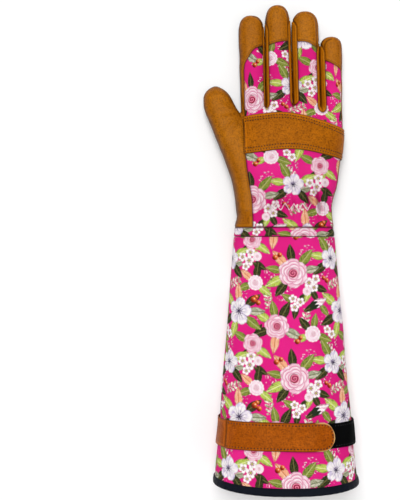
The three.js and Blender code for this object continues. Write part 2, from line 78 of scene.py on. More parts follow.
FINGER_PROFILE = np.array([  # from, width, depth, raised, round
    (0, 1, 0.96, 0.9, 0), (0.3, 1, 0.97, 0.1, 0), (0.62, 1, 0.91, 0, 0), (0.84, 0.99, 0.86, 0, 0),
    (0.915, 0.9, 0.79, 0, 0.03), (0.966, 0.68, 0.64, 0, 0.1), (0.993, 0.38, 0.4, 0, 0.21), (1, 0.16, 0.2, 0, 0.3)])
THUMB_ROWS = np.array([  # along, left, right, top, low
    (0.06, -0.45, -0.3, 0.82, 1), (0.12, -0.47, -0.25, 0.98, 1), (0.21, -0.497, -0.22, 1.0, 1),
    (0.318, -0.572, -0.25, 0.97, 1), (0.4, -0.648, -0.3, 0.93, 1), (0.465, -0.706, -0.35, 0.87, 1),
    (0.505, -0.741, -0.392, 0.81, 0.8), (0.535, -0.772, -0.437, 0.76, 0.4), (0.57, -0.792, -0.482, 0.73, 0),
    (0.6, -0.79, -0.516, 0.69, 0), (0.622, -0.772, -0.553, 0.62, 0), (0.638, -0.738, -0.594, 0.52, 0),
    (0.647, -0.7, -0.636, 0.42, 0), (0.65, -0.68, -0.655, 0.38, 0)])
CUFF_ROWS = np.array([(0, 0), (0.16, 0.01), (0.4, 0.014), (0.66, 0.014), (0.9, 0.005), (1, 0)])
THUMB_SEAM = [(-0.318, 0), (-0.321, 0.144), (-0.349, 0.222), (-0.386, 0.335), (-0.389, 0.49), (-0.389, 0.541)]
THUMB_CROTCH, THUMB_FREE = (-0.402, 0.549), (-0.47, 0.75)
CAP_SEAMS = [(0.745, 0.798, 0.818), (0.822, 0.832, 0.84), (0.838, 0.832, 0.812), (0.752, 0.738, 0.71)]
CAP_LENGTH = 0.035
BAND_EDGE = [(-0.389, 0.514, 0.349), (-0.2, 0.522, 0.358), (-0.03, 0.527, 0.366), (0.17, 0.515, 0.363),
             (0.38, 0.488, 0.345), (0.62, 0.452, 0.32)]
PATCH_CORNERS = [(-0.325, 0.503), (-0.17, 0.508), (0.035, 0.52), (0.24, 0.487), (0.391, 0.48), (0.5, 0.42),
                 (0.46, 0.27), (0.4, 0.149), (0.25, 0.113), (0.022, 0.107), (-0.195, 0.181), (-0.34, 0.33)]
CHANNEL_PATH = [(-0.5, 0.408), (-0.083, 0.4), (0.15, 0.384), (0.29, 0.352), (0.33, 0.3), (0.25, 0.235)]


# ---------------------------------------------------------------- numbers
def smooth(xs, ys, x):
    """A monotone cubic through the points (xs, ys), read at x."""
    xs, ys, x = np.asarray(xs, float), np.asarray(ys, float), np.asarray(x, float)
    h = np.diff(xs)
    d = np.diff(ys) / h
    m = np.zeros_like(ys)
    for k in range(1, len(xs) - 1):
        if d[k - 1] * d[k] > 0:
            a, b = 2 * h[k] + h[k - 1], h[k] + 2 * h[k - 1]
            m[k] = (a + b) / (a / d[k - 1] + b / d[k])
    m[0], m[-1] = d[0], d[-1]
    i = np.clip(np.searchsorted(xs, x) - 1, 0, len(xs) - 2)
    t = np.clip((x - xs[i]) / h[i], 0, 1)
    return (ys[i] * (1 + 2 * t) * (1 - t) ** 2 + ys[i + 1] * t * t * (3 - 2 * t)
            + h[i] * (m[i] * t * (1 - t) ** 2 - m[i + 1] * t * t * (1 - t)))


def power(value, exponent):
    return np.sign(value) * np.abs(value) ** exponent


def section(left, right, low, high, angle, ripple=0.0):
    """A closed section's x and z at each angle."""
    waist = low + (high - low) * WAIST
    up = np.sin(angle)
    x = (left + right) / 2 + (right - left) / 2 * power(np.cos(angle), ROUND)
    under = np.maximum(low, waist - (waist - low) * SAG * np.abs(up) ** ROUND)
    return x, np.where(up < 0, under, waist + (high - waist) * np.abs(up) ** ROUND + ripple * up)


def chaikin(points, turns=2, closed=False):
    """Rounds the corners of a line of points."""
    p = np.asarray(points, float)
    for _ in range(turns):
        q = np.vstack([p, p[:1]]) if closed else p
        a, b = q[:-1] * 0.75 + q[1:] * 0.25, q[:-1] * 0.25 + q[1:] * 0.75
        mid = np.empty((len(a) * 2, p.shape[1]))
        mid[0::2], mid[1::2] = a, b
        p = mid if closed else np.vstack([p[:1], mid[1:-1], p[-1:]])
    return p


def curve(points, count, closed=False):
    """A Catmull-Rom curve through the points."""
    p = np.asarray(points, float)
    n = len(p)
    out = []
    spans = n if closed else n - 1
    for j in range(count if closed else count + 1):
        t = j / count * spans
        i = min(int(t), spans - 1)
        t -= i
        if closed:
            a, b, c, d = p[(i - 1) % n], p[i % n], p[(i + 1) % n], p[(i + 2) % n]
        else:
            b, c = p[i], p[i + 1]
            a = p[i - 1] if i else 2 * b - c
            d = p[i + 2] if i + 2 < n else 2 * c - b
        out.append(0.5 * (2 * b + (c - a) * t + (2 * a - 5 * b + 4 * c - d) * t * t
                          + (3 * b - a - 3 * c + d) * t ** 3))
    return np.array(out)


def resample(points, pitch, closed=False):
    """Points at even steps along a line, and the way the line runs there."""
    p = np.asarray(points, float)
    if closed:
        p = np.vstack([p, p[:1]])
    s = np.concatenate([[0], np.cumsum(np.linalg.norm(np.diff(p, axis=0), axis=1))])
    n = max(2, int(round(s[-1] / pitch)))
    at = (np.arange(n) + 0.5) / n * s[-1]
    out = np.stack([np.interp(at, s, p[:, k]) for k in range(p.shape[1])], 1)
    ahead = np.stack([np.interp(np.minimum(at + pitch * 0.3, s[-1]), s, p[:, k]) for k in range(p.shape[1])], 1)
    back = np.stack([np.interp(np.maximum(at - pitch * 0.3, 0), s, p[:, k]) for k in range(p.shape[1])], 1)
    way = ahead - back
    return out, way / np.maximum(np.linalg.norm(way, axis=1, keepdims=True), 1e-9)


def off(points, distance, closed=False):
    """The line moved to its left by a distance."""
    p = np.asarray(points, float)
    if closed:
        way = np.roll(p, -1, 0) - np.roll(p, 1, 0)
    else:
        way = np.gradient(p, axis=0)
    way /= np.maximum(np.linalg.norm(way, axis=1, keepdims=True), 1e-9)
    return p + np.stack([-way[:, 1], way[:, 0]], 1) * distance


def line_distance(xy, line, closed=False):
    """Each point's distance from a line of points in the plane."""
    p = np.asarray(line, float)
    if closed:
        p = np.vstack([p, p[:1]])
    best = np.full(len(xy), 1e9)
    for a, b in zip(p[:-1], p[1:]):
        ab = b - a
        t = np.clip(((xy - a) @ ab) / max(ab @ ab, 1e-12), 0, 1)
        best = np.minimum(best, np.linalg.norm(xy - (a + t[:, None] * ab), axis=1))
    return best


def columns(table, at):
    """The table's next four columns as smooth curves over its first one, read at a place."""
    return [smooth(table[:, 0], table[:, k], at) for k in range(1, 5)]


def bump(x, width):
    """1 at 0, falling off to both sides."""
    return np.exp(-(x / width) ** 2)


def step(x, low, high):
    """0 below low, 1 above high, smooth between."""
    t = np.clip((x - low) / (high - low), 0, 1)
    return t * t * (3 - 2 * t)


def share(points):
    """Points given as shares of the palm's width and the hand's length, in mm."""
    return np.array([(x * PALM, y * HAND) for x, y in points])


# ---------------------------------------------------------------- meshes
def make(name, co, faces, temp=False):
    """An object from places in mm. A temporary one stays in mm, in the glove's frame."""
    me = bpy.data.meshes.new(name)
    placed = co if temp else (co + SHIFT) * 0.001
    me.from_pydata(np.asarray(placed).tolist(), [], faces.tolist() if isinstance(faces, np.ndarray) else faces)
    me.update()
    ob = bpy.data.objects.new(name, me)
    scene.collection.objects.link(ob)
    if not temp:
        me.polygons.foreach_set("use_smooth", [True] * len(me.polygons))
    return ob


def read(me):
    co = np.empty(len(me.vertices) * 3)
    me.vertices.foreach_get("co", co)
    return co.reshape(-1, 3)


def in_glove(ob):
    """A finished object's vertices in the glove's frame."""
    return read(ob.data) * 1000 - SHIFT


def write(me, name, values, kind="FLOAT", domain="POINT", field="value"):
    """A new attribute that a material reads."""
    me.attributes.new(name, kind, domain).data.foreach_set(field, np.asarray(values, np.float32).ravel())


def loft(rows, sides, shift=None):
    """A closed skin through sections: rows are y, left, right, low, high."""
    y, left, right, low, high = [np.broadcast_to(r, np.shape(rows[0]))[:, None] for r in rows]
    angle = 2 * np.pi * np.arange(sides)[None, :] / sides
    x, z = section(left, right, low, high, angle)
    co = np.stack([x, np.broadcast_to(y, x.shape), z], 2)
    if shift is not None:
        co[:, :, 0] += shift[:, None]
    n = len(y)
    i, k = np.meshgrid(np.arange(n - 1), np.arange(sides), indexing="ij")
    a, b = i * sides + k, i * sides + (k + 1) % sides
    faces = np.stack([a, a + sides, b + sides, b], 2).reshape(-1, 4).tolist()
    faces.append(list(range(sides)))
    faces.append([(n - 1) * sides + k for k in reversed(range(sides))])
    return co.reshape(-1, 3), faces


def finger_edge(f, y, side):
    """Where a finger's left edge (side 0) or right edge (side 1) is at y."""
    t = (np.asarray(y, float) - CROTCH_Y) / (f[4] * HAND - CROTCH_Y)
    return (f[side] + (f[2 + side] - f[side]) * t) * PALM + (-SPACING if side else SPACING) / 2


def between(k, y):
    """Halfway between finger k and the next one at y."""
    return (finger_edge(FINGERS[k], y, 1) + finger_edge(FINGERS[k + 1], y, 0)) / 2


# how far inside each finger's sides the print ends on the real glove: left, right
PRINT_IN = [(3.6, 1.5), (2.2, 2.7), (3.9, 2.9), (3.6, 0.9)]
FEET = [126.4, 130.0, 121.5]           # where the three strips between the fingers end, round
FOOT_HEIGHT = 4.4                      # of a strip's round foot
SPREAD = [-3.3, -1.1, 1.1, 3.3]        # the fingers are drawn apart while the forms are joined
spread_at = lambda y: step(y, CROTCH_Y - 5, CROTCH_Y + 9)


def hand_form():
    """The whole hand as one closed skin."""
    parts = []
    y = np.arange(HAND_ROWS[0, 0] * HAND, CROTCH_Y + 0.01, 1.5)
    left, right, top, lift = columns(HAND_ROWS, y / HAND)
    low = CUFF_REST + (PALM_REST - CUFF_REST) * lift
    parts.append(loft((y, left * PALM, right * PALM, low, top * PALM_DEPTH), 96))
    for f, shift in zip(FINGERS, SPREAD):
        long = f[4] * HAND - CROTCH_Y
        first = (ROOT * HAND - CROTCH_Y) / long
        t = np.concatenate([np.arange(first, 0.9, 0.014), np.linspace(0.9, 1.0, 26)])
        width, depth, raised, rounded = columns(np.vstack([(first, 0.94, 0.9, 1, 0), FINGER_PROFILE]), t)
        y = CROTCH_Y + long * t
        left, right = finger_edge(f, y, 0), finger_edge(f, y, 1)
        middle, half = (left + right) / 2, (right - left) / 2 * width
        low = f[5] + (PALM_REST * INNER - f[5]) * raised + FINGER_DEPTH * rounded
        parts.append(loft((y, middle - half, middle + half, low, low + FINGER_DEPTH * depth), 64,
                          shift * spread_at(y)))
    t = np.concatenate([np.arange(0.06, 0.6, 0.006), np.linspace(0.6, 0.65, 26)])
    left, right, top, lift = columns(THUMB_ROWS, t)
    low = TIP_REST + (PALM_REST * INNER - TIP_REST) * lift
    parts.append(loft((t * HAND, left * PALM, right * PALM, low, top * PALM_DEPTH), 72))
    co, faces, base = [], [], 0
    for c, f in parts:
        co.append(c)
        faces += [[i + base for i in face] for face in f]
        base += len(c)
    ob = make("hand_form", np.vstack(co), faces, temp=True)
    mod = ob.modifiers.new("skin", "REMESH")
    mod.mode, mod.voxel_size, mod.adaptivity = "VOXEL", 1.05, 0.0
    mesh = bpy.data.meshes.new_from_object(ob.evaluated_get(bpy.context.evaluated_depsgraph_get()))
    bpy.data.objects.remove(ob)
    co = read(mesh)
    edges = np.empty(len(mesh.edges) * 2, np.int64)
    mesh.edges.foreach_get("vertices", edges)
    co = relax(co, edges.reshape(-1, 2), 7)
    # back to where the fingers are
    y = co[:, 1]
    move = np.zeros(len(co))
    ramp = spread_at(y)
    for k, shift in enumerate(SPREAD):
        lower = -1e9 if k == 0 else (finger_edge(FINGERS[k], y, 0) - SPACING / 2
                                     + (SPREAD[k - 1] + SPREAD[k]) / 2 * ramp)
        move = np.where(co[:, 0] > lower, shift * ramp, move)
    # the thumb was never drawn away
    border = np.interp(y, [122.8, 130.8, 137.7, 150], [-43, -46.1, -48.5, -50])
    co[:, 0] -= move * step(co[:, 0], border - 1.2, border + 1.2)
    co = dress(co)
    mesh.vertices.foreach_set("co", co.ravel())
    mesh.update()
    return mesh


def relax(co, edges, turns):
    """Taubin smoothing: the skin keeps its size."""
    n = len(co)
    count = np.bincount(edges.ravel(), minlength=n)[:, None]
    for _ in range(turns):
        for factor in (0.55, -0.57):
            total = np.zeros_like(co)
            for k in range(3):
                total[:, k] = (np.bincount(edges[:, 0], co[edges[:, 1], k], n)
                               + np.bincount(edges[:, 1], co[edges[:, 0], k], n))
            co = co + factor * (total / np.maximum(count, 1) - co)
    return co


def waves(x, y, z, seed, scale):
    """Slow, uneven swells between -1 and 1."""
    rng = random.Random(seed)
    total = 0
    for k in range(5):
        a, b, c = [rng.uniform(-1, 1) for _ in range(3)]
        size = scale * rng.uniform(0.7, 1.6)
        total = total + np.sin((a * x + b * y + c * z) * 2 * math.pi / size + rng.uniform(0, 6.28))
    return total / 3


def gathers(x, y):
    """How far the wrist's elastic pushes the cloth up, in mm."""
    pull = bump(y - 29, 11) * step(x, -33, -20) * (1 - step(x, 36, 47))
    gather = np.cos(2 * math.pi * (x + 2.2 * np.sin(x / 7.3) + 0.8 * np.sin(y / 5)) / 6.8)
    # long soft folds right of the elastic
    fold = bump(y - 40, 15) * step(x, 8, 18) * (1 - step(x, 40, 48))
    return pull * (1.7 * gather - 1.1) + fold * 2.5 * np.cos((x - 26 + (y - 37) * 0.12) * 2 * math.pi / 11)


def dress(co):
    """Gathers, creases and slack in the hand's skin."""
    x, y, z = co[:, 0], co[:, 1], co[:, 2]
    co[:, 2] += gathers(x, y) * step(z, 20, 27) * step(y, 6, 14)
    # slack
    co[:, 2] += 0.28 * waves(x, y, z, 3, 34) * step(z, 16, 24) + 0.16 * waves(x, y, z, 5, 13) * step(z, 16, 24)
    co[:, 0] += 0.22 * waves(x, y, z, 8, 22) * bump(z - SPLIT, 8) * step(y, 4, 12)
    # neighbouring fingers touch halfway up
    for k in range(3):
        d = between(k, y) - x
        end = min(FINGERS[k][4], FINGERS[k + 1][4]) * HAND
        w = (bump(z - 10, 6.5) * step(y, CROTCH_Y + 1, CROTCH_Y + 7) * (1 - step(y, end - 13, end - 5))
             * (np.abs(d) < 3))
        co[:, 0] += np.sign(d) * np.minimum(0.41, np.maximum(np.abs(d) - 0.04, 0)) * w
    # creases over the finger joints and across the thumb
    for k, f in enumerate(FINGERS):
        left, right = finger_edge(f, y, 0), finger_edge(f, y, 1)
        on = (x > left - 2) & (x < right + 2) & (y > CROTCH_Y + 6)
        for along, size in ((0.36, 0.22), (0.40, 0.3), (0.44, 0.2), (0.70, 0.2), (0.735, 0.26)):
            at = CROTCH_Y + (f[4] - CROTCH) * HAND * along + 1.2 * np.sin((x - left) / 5 + k)
            co[:, 2] -= on * step(z, 15, 20) * size * bump(y - at, 1.7)
            co[:, 2] += on * (z < 9) * size * 1.3 * bump(y - at, 1.9)
    # the thumb's root is drawn into folds that run towards the crotch
    root = np.array([-40.0, 121.0])
    d = np.hypot(x - root[0], y - root[1])
    angle = np.arctan2(y - root[1], x - root[0])
    near = step(d, 2, 9) * (1 - step(d, 30, 62)) * (z < 14)
    co[:, 2] += near * 0.8 * np.cos(angle * 13 + 0.4) * (y < 122)
    near = step(d, 3, 10) * (1 - step(d, 22, 46)) * step(z, 20, 25) * (x < -39)
    co[:, 2] += near * 0.45 * np.cos(angle * 11)
    return co


AWAY = 300.0                           # past every side of the hand
MARKERS = [bpy.data.materials.new("marker_" + letter) for letter in "ab"]


def marked(me, index):
    """Gives a mesh's faces one of two materials: the skin has the first one and the cutters the second."""
    for m in MARKERS:
        me.materials.append(m)
    me.polygons.foreach_set("material_index", [index] * len(me.polygons))


def prism(outline, low, high):
    """A closed block over an outline, for cutting the hand's skin."""
    p = np.asarray(outline, float)
    area = np.sum(p[:, 0] * np.roll(p[:, 1], -1) - np.roll(p[:, 0], -1) * p[:, 1])
    if area < 0:
        p = p[::-1]
    n = len(p)
    co = np.vstack([np.column_stack([p, np.full(n, low)]), np.column_stack([p, np.full(n, high)])])
    faces = [[k, (k + 1) % n, n + (k + 1) % n, n + k] for k in range(n)]
    faces.append(list(range(n))[::-1])
    faces.append([n + k for k in range(n)])
    ob = make("cutter", co, faces, temp=True)
    marked(ob.data, 1)
    return ob


def cut(mesh, steps):
    """The skin after a list of (operation, outline, low, high), without the faces of the cuts."""
    ob = bpy.data.objects.new("cut", mesh.copy())
    scene.collection.objects.link(ob)
    tools = []
    for operation, outline, low, high in steps:
        tool = prism(outline, low, high)
        tool.hide_render = True
        tools.append(tool)
        mod = ob.modifiers.new("cut", "BOOLEAN")
        mod.operation, mod.object, mod.solver = operation, tool, "MANIFOLD"
    out = bpy.data.meshes.new_from_object(ob.evaluated_get(bpy.context.evaluated_depsgraph_get()))
    for o in [ob] + tools:
        bpy.data.objects.remove(o)
    co = read(out)
    keep = [list(p.vertices) for p in out.polygons if p.material_index == 0]
    used = np.unique(np.concatenate([np.array(f) for f in keep]))
    index = -np.ones(len(co), int)
    index[used] = np.arange(len(used))
    return co[used], [[int(index[i]) for i in f] for f in keep]


def normals(co, faces):
    me = bpy.data.meshes.new("n")
    me.from_pydata(co.tolist(), [], faces)
    me.update()
    out = np.empty(len(co) * 3)
    me.vertices.foreach_get("normal", out)
    bpy.data.meshes.remove(me)
    return out.reshape(-1, 3)


def rims(faces):
    """The directed edges that only one face has."""
    seen = {}
    for f in faces:
        for a, b in zip(f, f[1:] + f[:1]):
            seen[(a, b)] = True
    return [(a, b) for a, b in seen if (b, a) not in seen]


def rim_distance(co, edge_list):
    """Each vertex's distance from the nearest one on a rim."""
    points = np.unique(np.array(edge_list).ravel())
    tree = KDTree(len(points))
    for k, i in enumerate(points):
        tree.insert(co[i], k)
    tree.balance()
    return np.array([tree.find(p)[2] for p in co])


TAPER = 11.0                           # the last part of each strip, over which it narrows to nothing
strip_end = lambda k: (min(FINGERS[k][4], FINGERS[k + 1][4]) - CAP_LENGTH) * HAND + 2


def tip_seams():
    """Where the strips' seams run on round the fingertips."""
    lines = []
    for k, side, strip, inset in ((0, 1, 0, 1.5), (1, 1, 1, 2.5), (2, 1, 2, 2.7), (3, 0, 2, 3.4)):
        f, sign = FINGERS[k], 1 if side else -1
        half = float(finger_edge(f, f[4] * HAND, 1) - finger_edge(f, f[4] * HAND, 0)) / 2 - inset
        ys = np.linspace(strip_end(strip) - TAPER, f[4] * HAND - inset - half, 6)
        line = [(float(finger_edge(f, y, side)) - sign * inset, y) for y in ys]
        centre = line[-1][0] - sign * half
        line += [(centre + sign * half * math.cos(a), ys[-1] + half * math.sin(a))
                 for a in np.linspace(0.15, 1.45, 9)]
        lines.append(line)
    return lines


def panel(name, co, faces, wall, groove=0.0, raise_by=None, seams=(), valley=None):
    """A panel of cloth or leather with its thickness.

    It dips by groove into the seams all round it and along the lines of seams. raise_by lifts what is sewn on
    top of another panel, and valley gives the distance from the fold that a strip between two fingers has.
    """
    n = normals(co, faces)
    edge_list = rims(faces)
    d = rim_distance(co, edge_list)
    for line in seams:
        d = np.minimum(d, np.where(co[:, 2] > 9, line_distance(co[:, :2], line) + 0.25, 9))
    dip = groove * bump(d, 1.25)
    if valley is not None:
        dip = dip - 0.5 * bump(d - 1.15, 0.7)
    outer = co - n * dip[:, None]
    if raise_by is not None:
        outer = outer + n * raise_by(outer, d)[:, None]
    outer[:, 2] = np.maximum(outer[:, 2], 0.02)
    inner = co - n * wall if raise_by is None else co + n * CLEARANCE
    size = len(co)
    back = [[i + size for i in reversed(f)] for f in faces]
    side = [[b, a, a + size, b + size] for a, b in edge_list]
    ob = make(name, np.vstack([outer, inner]), faces + back + side)
    # painted shade along the fold of a strip between two fingers
    if valley is not None:
        d = np.minimum(1.8 * d, 1.3 * valley(co) + 0.1)
    if name == "back_cloth":           # painted shade in the gathers' valleys
        sunk = gathers(co[:, 0], co[:, 1]) * step(co[:, 2], 18, 25)
        d = np.minimum(d, 3.0 - 0.8 * np.clip(-sunk, 0, 2.9))
    d = d + 1.0 * (1 - step(co[:, 1], 1.0, 3.5))       # the seam with the cuff hardly shows
    # edge: distance from rims, seams and folds, for dark seam lines and painted shade; facing: how far each point
    # faces up, for the leather's painted light and shade
    for attribute, value in (("edge", d), ("facing", np.clip(normals(outer, faces)[:, 2], 0, 1))):
        write(ob.data, attribute, np.concatenate([value, np.zeros(size)]))
    return ob


below = lambda y: [(-AWAY, -AWAY), (AWAY, -AWAY), (AWAY, y), (-AWAY, y)]


def print_edge(k, along, side):
    """Where the print on finger k ends at its left (0) or right (1), at a share of the hand's length."""
    return float(finger_edge(FINGERS[k], along * HAND, side)) + (-PRINT_IN[k][1] if side else PRINT_IN[k][0])


def cap_seam(k):
    """The line where the print ends below a fingertip's leather."""
    left, middle, right = CAP_SEAMS[k]
    a, b = print_edge(k, left, 0), print_edge(k, right, 1)
    if k == 0:
        return [(a, left * HAND - 8), (a + 0.9, left * HAND - 1), (a + 4.6, left * HAND + 5.2),
                ((a + b) / 2 + 0.6, middle * HAND + 1.2), (b, right * HAND + 0.6)]
    if k == 3:
        return [(a, left * HAND + 1), ((a + b) / 2, middle * HAND + 0.2), (b - 2.2, right * HAND + 2.6),
                (b - 0.3, right * HAND - 1), (b, right * HAND - 5)]
    return [(a, left * HAND), ((a + b) / 2, middle * HAND + 0.4), (b, right * HAND)]


def back_outline():
    """All the printed cloth on the hand's back, up to the fingertips' leather."""
    seam = [(x * PALM, max(y * HAND, YOKE)) for x, y in THUMB_SEAM[:-1]]
    line = [tuple(p) for p in chaikin(seam, 2)]
    for k in range(4):
        if k > 0:
            line.append((print_edge(k, CROTCH, 0), FEET[k - 1] + 5.4))
        line += [tuple(p) for p in curve(cap_seam(k), 14)]
        if k < 3:
            line.append((print_edge(k, CROTCH, 1), FEET[k] + 5.4))
    rows = [r for r in HAND_ROWS if r[0] * HAND > YOKE and r[0] < CROTCH][::-1]
    line += [(r[2] * PALM - 0.7, r[0] * HAND) for r in rows]
    line.append((HAND_ROWS[1, 2] * PALM - 0.7, YOKE))
    return line


def strip_outline(k):
    """The strip between two fingers: its foot is round, its top runs out between the fingertips."""
    foot, end = FEET[k] + FOOT_HEIGHT, strip_end(k)
    ys = np.concatenate([np.linspace(foot, end - TAPER, 5), np.linspace(end - TAPER, end, 8)[1:]])
    close = step(ys, end - TAPER, end)
    left, right = [[(float(x + (g + inset - x) * c), y)
                    for x, g, c, y in zip([print_edge(finger, y / HAND, side) for y in ys],
                                          between(k, ys), close, ys)]
                   for finger, side, inset in ((k, 1, -0.5), (k + 1, 0, 0.5))]
    middle, half = (left[0][0] + right[0][0]) / 2, (right[0][0] - left[0][0]) / 2
    round_foot = [(middle - half * math.cos(t), foot - FOOT_HEIGHT * math.sin(t) ** 1.3)
                  for t in np.linspace(0.2, math.pi - 0.2, 11)]
    return left[::-1] + round_foot + right


def thumb_outline():
    """The thumb's back and the hand's side, left of the seam."""
    seam = [tuple(p) for p in chaikin(share(THUMB_SEAM + [THUMB_CROTCH]), 2)]
    free = (THUMB_FREE[0] * PALM, THUMB_FREE[1] * HAND)
    return [(-AWAY, -AWAY), (seam[0][0], -AWAY)] + seam + [free, (-AWAY, free[1])]


hand = hand_form()
marked(hand, 0)

yoke_zone = ("DIFFERENCE", below(YOKE), SPLIT, AWAY)
mouth = ("DIFFERENCE", below(0.0), -AWAY, AWAY)
strips = [("DIFFERENCE", strip_outline(k), -AWAY, AWAY) for k in range(3)]
thumb_zone = ("DIFFERENCE", thumb_outline(), SPLIT, AWAY)
back_zone = ("DIFFERENCE", back_outline(), CLOTH_FLOOR, AWAY)
within = lambda zone: ("INTERSECT",) + zone[1:]

skins = {
    "palm_leather": cut(hand, [mouth, yoke_zone, thumb_zone, back_zone] + strips),
    "thumb_leather": cut(hand, [mouth, yoke_zone, within(thumb_zone)]),
    "back_cloth": cut(hand, [mouth, yoke_zone, within(back_zone)] + strips),
    "wrist_yoke": cut(hand, [mouth, within(yoke_zone)]),
}
STRIPS = ["fourchette_" + pair for pair in ("index_middle", "middle_ring", "ring_little")]
for k, name in enumerate(STRIPS):
    skins[name] = cut(hand, [within(strips[k])])

pieces = {}
for name, (co, faces) in skins.items():
    cloth = name in ("back_cloth", "wrist_yoke")
    valley = None
    if name in STRIPS:
        valley = lambda c, k=STRIPS.index(name): np.abs(c[:, 0] - between(k, c[:, 1]))
    pieces[name] = panel(name, co, faces, CLOTH if cloth else LEATHER, 0.5 if cloth else 0.62,
                         seams=tip_seams() if name == "palm_leather" else (), valley=valley)

# the knuckle band's left end reaches a little over the thumb's seam
band_low, band_high = [
    curve([(row[0] * PALM - (1.1 if row[0] < -0.3 else 0), row[k] * HAND) for row in BAND_EDGE], 30)
    for k in (2, 1)]
ROWS_IN = (2.5, 5.4)                   # the band's two rows of stitches lie this far inside its edges


def band_raise(co, d):
    near = np.minimum(line_distance(co[:, :2], band_low), line_distance(co[:, :2], band_high))
    lift = CLEARANCE + BAND - 0.55 * bump(d, 0.7)
    for r in ROWS_IN:
        lift = lift - 0.34 * bump(near - r, 0.75)
    return lift


def sewn_on(name, zones, wall, raise_by):
    """A panel on top of the hand's skin."""
    pieces[name] = panel(name, *cut(hand, zones), wall, raise_by=raise_by)


sewn_on("knuckle_band", [("INTERSECT", np.vstack([band_low, band_high[::-1]]), SPLIT + PALM_DEPTH * 0.12, AWAY)],
        BAND, band_raise)

patch_line = curve(share(PATCH_CORNERS), 90, closed=True)
channel_line = curve(share(CHANNEL_PATH), 40)
channel_zone = np.vstack([off(channel_line, CHANNEL / 2), off(channel_line, -CHANNEL / 2)[::-1]])
QUILT = (1.9, 4.3)                     # the patch's two rows of stitches lie this far inside its edges


def round_drop(radius, angles):
    """Points round the end of the patch's channel."""
    x, y = channel_line[-1]
    return [(x + radius * math.cos(a), y + radius * math.sin(a)) for a in angles]


# single rows of quilting on the patch, from the palm's photo laid over the right hand
from_palm = lambda pts: [((px - 45) * 0.97 + PHOTO_MIDDLE[0], (250 - py) * 0.97 + PHOTO_MIDDLE[1]) for px, py in pts]
lens = curve(from_palm([(108.3, 127.5), (122, 124.4), (138.1, 125.2), (164.2, 132.8), (168.7, 138.2), (166.5, 142),
                        (125.9, 130.6)]), 60, closed=True)
thenar = curve(from_palm([(106, 161.1), (109.1, 155), (129, 155), (136.6, 161.9), (130.5, 172.6), (130.5, 198.9),
                          (116.4, 184.8), (107.5, 166.5)]), 70, closed=True)


def patch_raise(co, d):
    lift = CLEARANCE + 0.9 + (PATCH - 0.9) * step(d, 0, 5.5) - 0.5 * bump(d, 0.8)
    xy = co[:, :2]
    for line in (lens, thenar):
        lift = lift - 0.9 * bump(line_distance(xy, line, True), 1.3)
    return lift - 0.6 * bump(d - 2.2, 0.8) - 0.35 * bump(d - 4.6, 0.8)


sewn_on("palm_patch", [("INTERSECT", patch_line, -AWAY, PALM_REST + PALM_DEPTH * 0.16),
                       ("DIFFERENCE", channel_zone, -AWAY, AWAY),
                       ("DIFFERENCE", round_drop(DROP, np.linspace(0, 2 * math.pi, 33)[:-1]), -AWAY, AWAY)],
        PATCH, patch_raise)


def touch_edges(f, y):
    """A finger's two sides at y, for its touch tip."""
    return float(finger_edge(f, y, 0)) - 0.4, float(finger_edge(f, y, 1)) + 0.4


thumb_sides = (-90, THUMB_FREE[0] * PALM)
for name, a, b, near, far in (
        ("thumb", 0.5, 0.56, thumb_sides, thumb_sides),
        ("index", 0.815, 0.84, touch_edges(FINGERS[0], 0.815 * HAND), touch_edges(FINGERS[0], AWAY)),
        ("middle", 0.868, 0.868, touch_edges(FINGERS[1], 0.868 * HAND), touch_edges(FINGERS[1], AWAY))):
    line = [(near[0], a * HAND), (near[1], b * HAND), (far[1], AWAY), (far[0], AWAY)]
    sewn_on("touch_tip_" + name, [("INTERSECT", line, -AWAY, TIP_REST + FINGER_DEPTH * 0.2)], TIP,
            lambda c, d: CLEARANCE + TIP * (0.62 + 0.38 * step(d, 0, 1.6)))


# ---------------------------------------------------------------- the cuff and what is on it
def cuff_at(y, angle, grow=0.0):
    """A point of the cuff's outside at y and at an angle about its axis, moved outwards by grow."""
    t = np.clip(-np.asarray(y, float) / CUFF, 0, 1)
    depth, width = SEAM_D + (HEM_D - SEAM_D) * t, SEAM_W + (HEM_W - SEAM_W) * t
    fold = smooth(CUFF_ROWS[:, 0], CUFF_ROWS[:, 1], t) * depth
    ripple = fold * np.cos(angle * 5)
    # small puckers at the seams with the yoke and the binding, and slack between
    pucker = 0.34 * np.cos(angle * 41 + 2 * np.sin(angle * 5)) * np.exp(t * -CUFF / 5)
    pucker = pucker + 0.22 * np.cos(angle * 47 + np.sin(angle * 7)) * np.exp((t - 1) * CUFF / 7)
    pull = bump(-y - (CUFF - STRAP_UP), 14) * (0.5 * np.cos(angle * 17 + y / 9) - 0.5)
    slack = 0.5 * np.sin(angle * 3 + y / 31) * np.sin(y / 43 + 1) + 0.25 * np.sin(angle * 9 - y / 13)
    soft = (pucker + pull + slack * step(t, 0.02, 0.15) * (1 - step(t, 0.9, 1.0)))
    x, z = section(-width / 2 - grow, width / 2 + grow, CUFF_REST - grow, CUFF_REST + depth + grow, angle,
                   ripple + soft * step(np.sin(angle), 0.1, 0.5))
    x = x + soft * 0.6 * np.cos(angle) * bump(np.sin(angle), 0.6)
    # the hem is a little shorter at its sides
    shorter = (0.7 + 3.3 * np.cos(angle) ** 2) * step(-np.asarray(y, float), CUFF - 46, CUFF)
    y = np.broadcast_to(y, np.shape(x)) + shorter
    return np.stack(np.broadcast_arrays(x, y, np.maximum(z, 0.02)), -1)


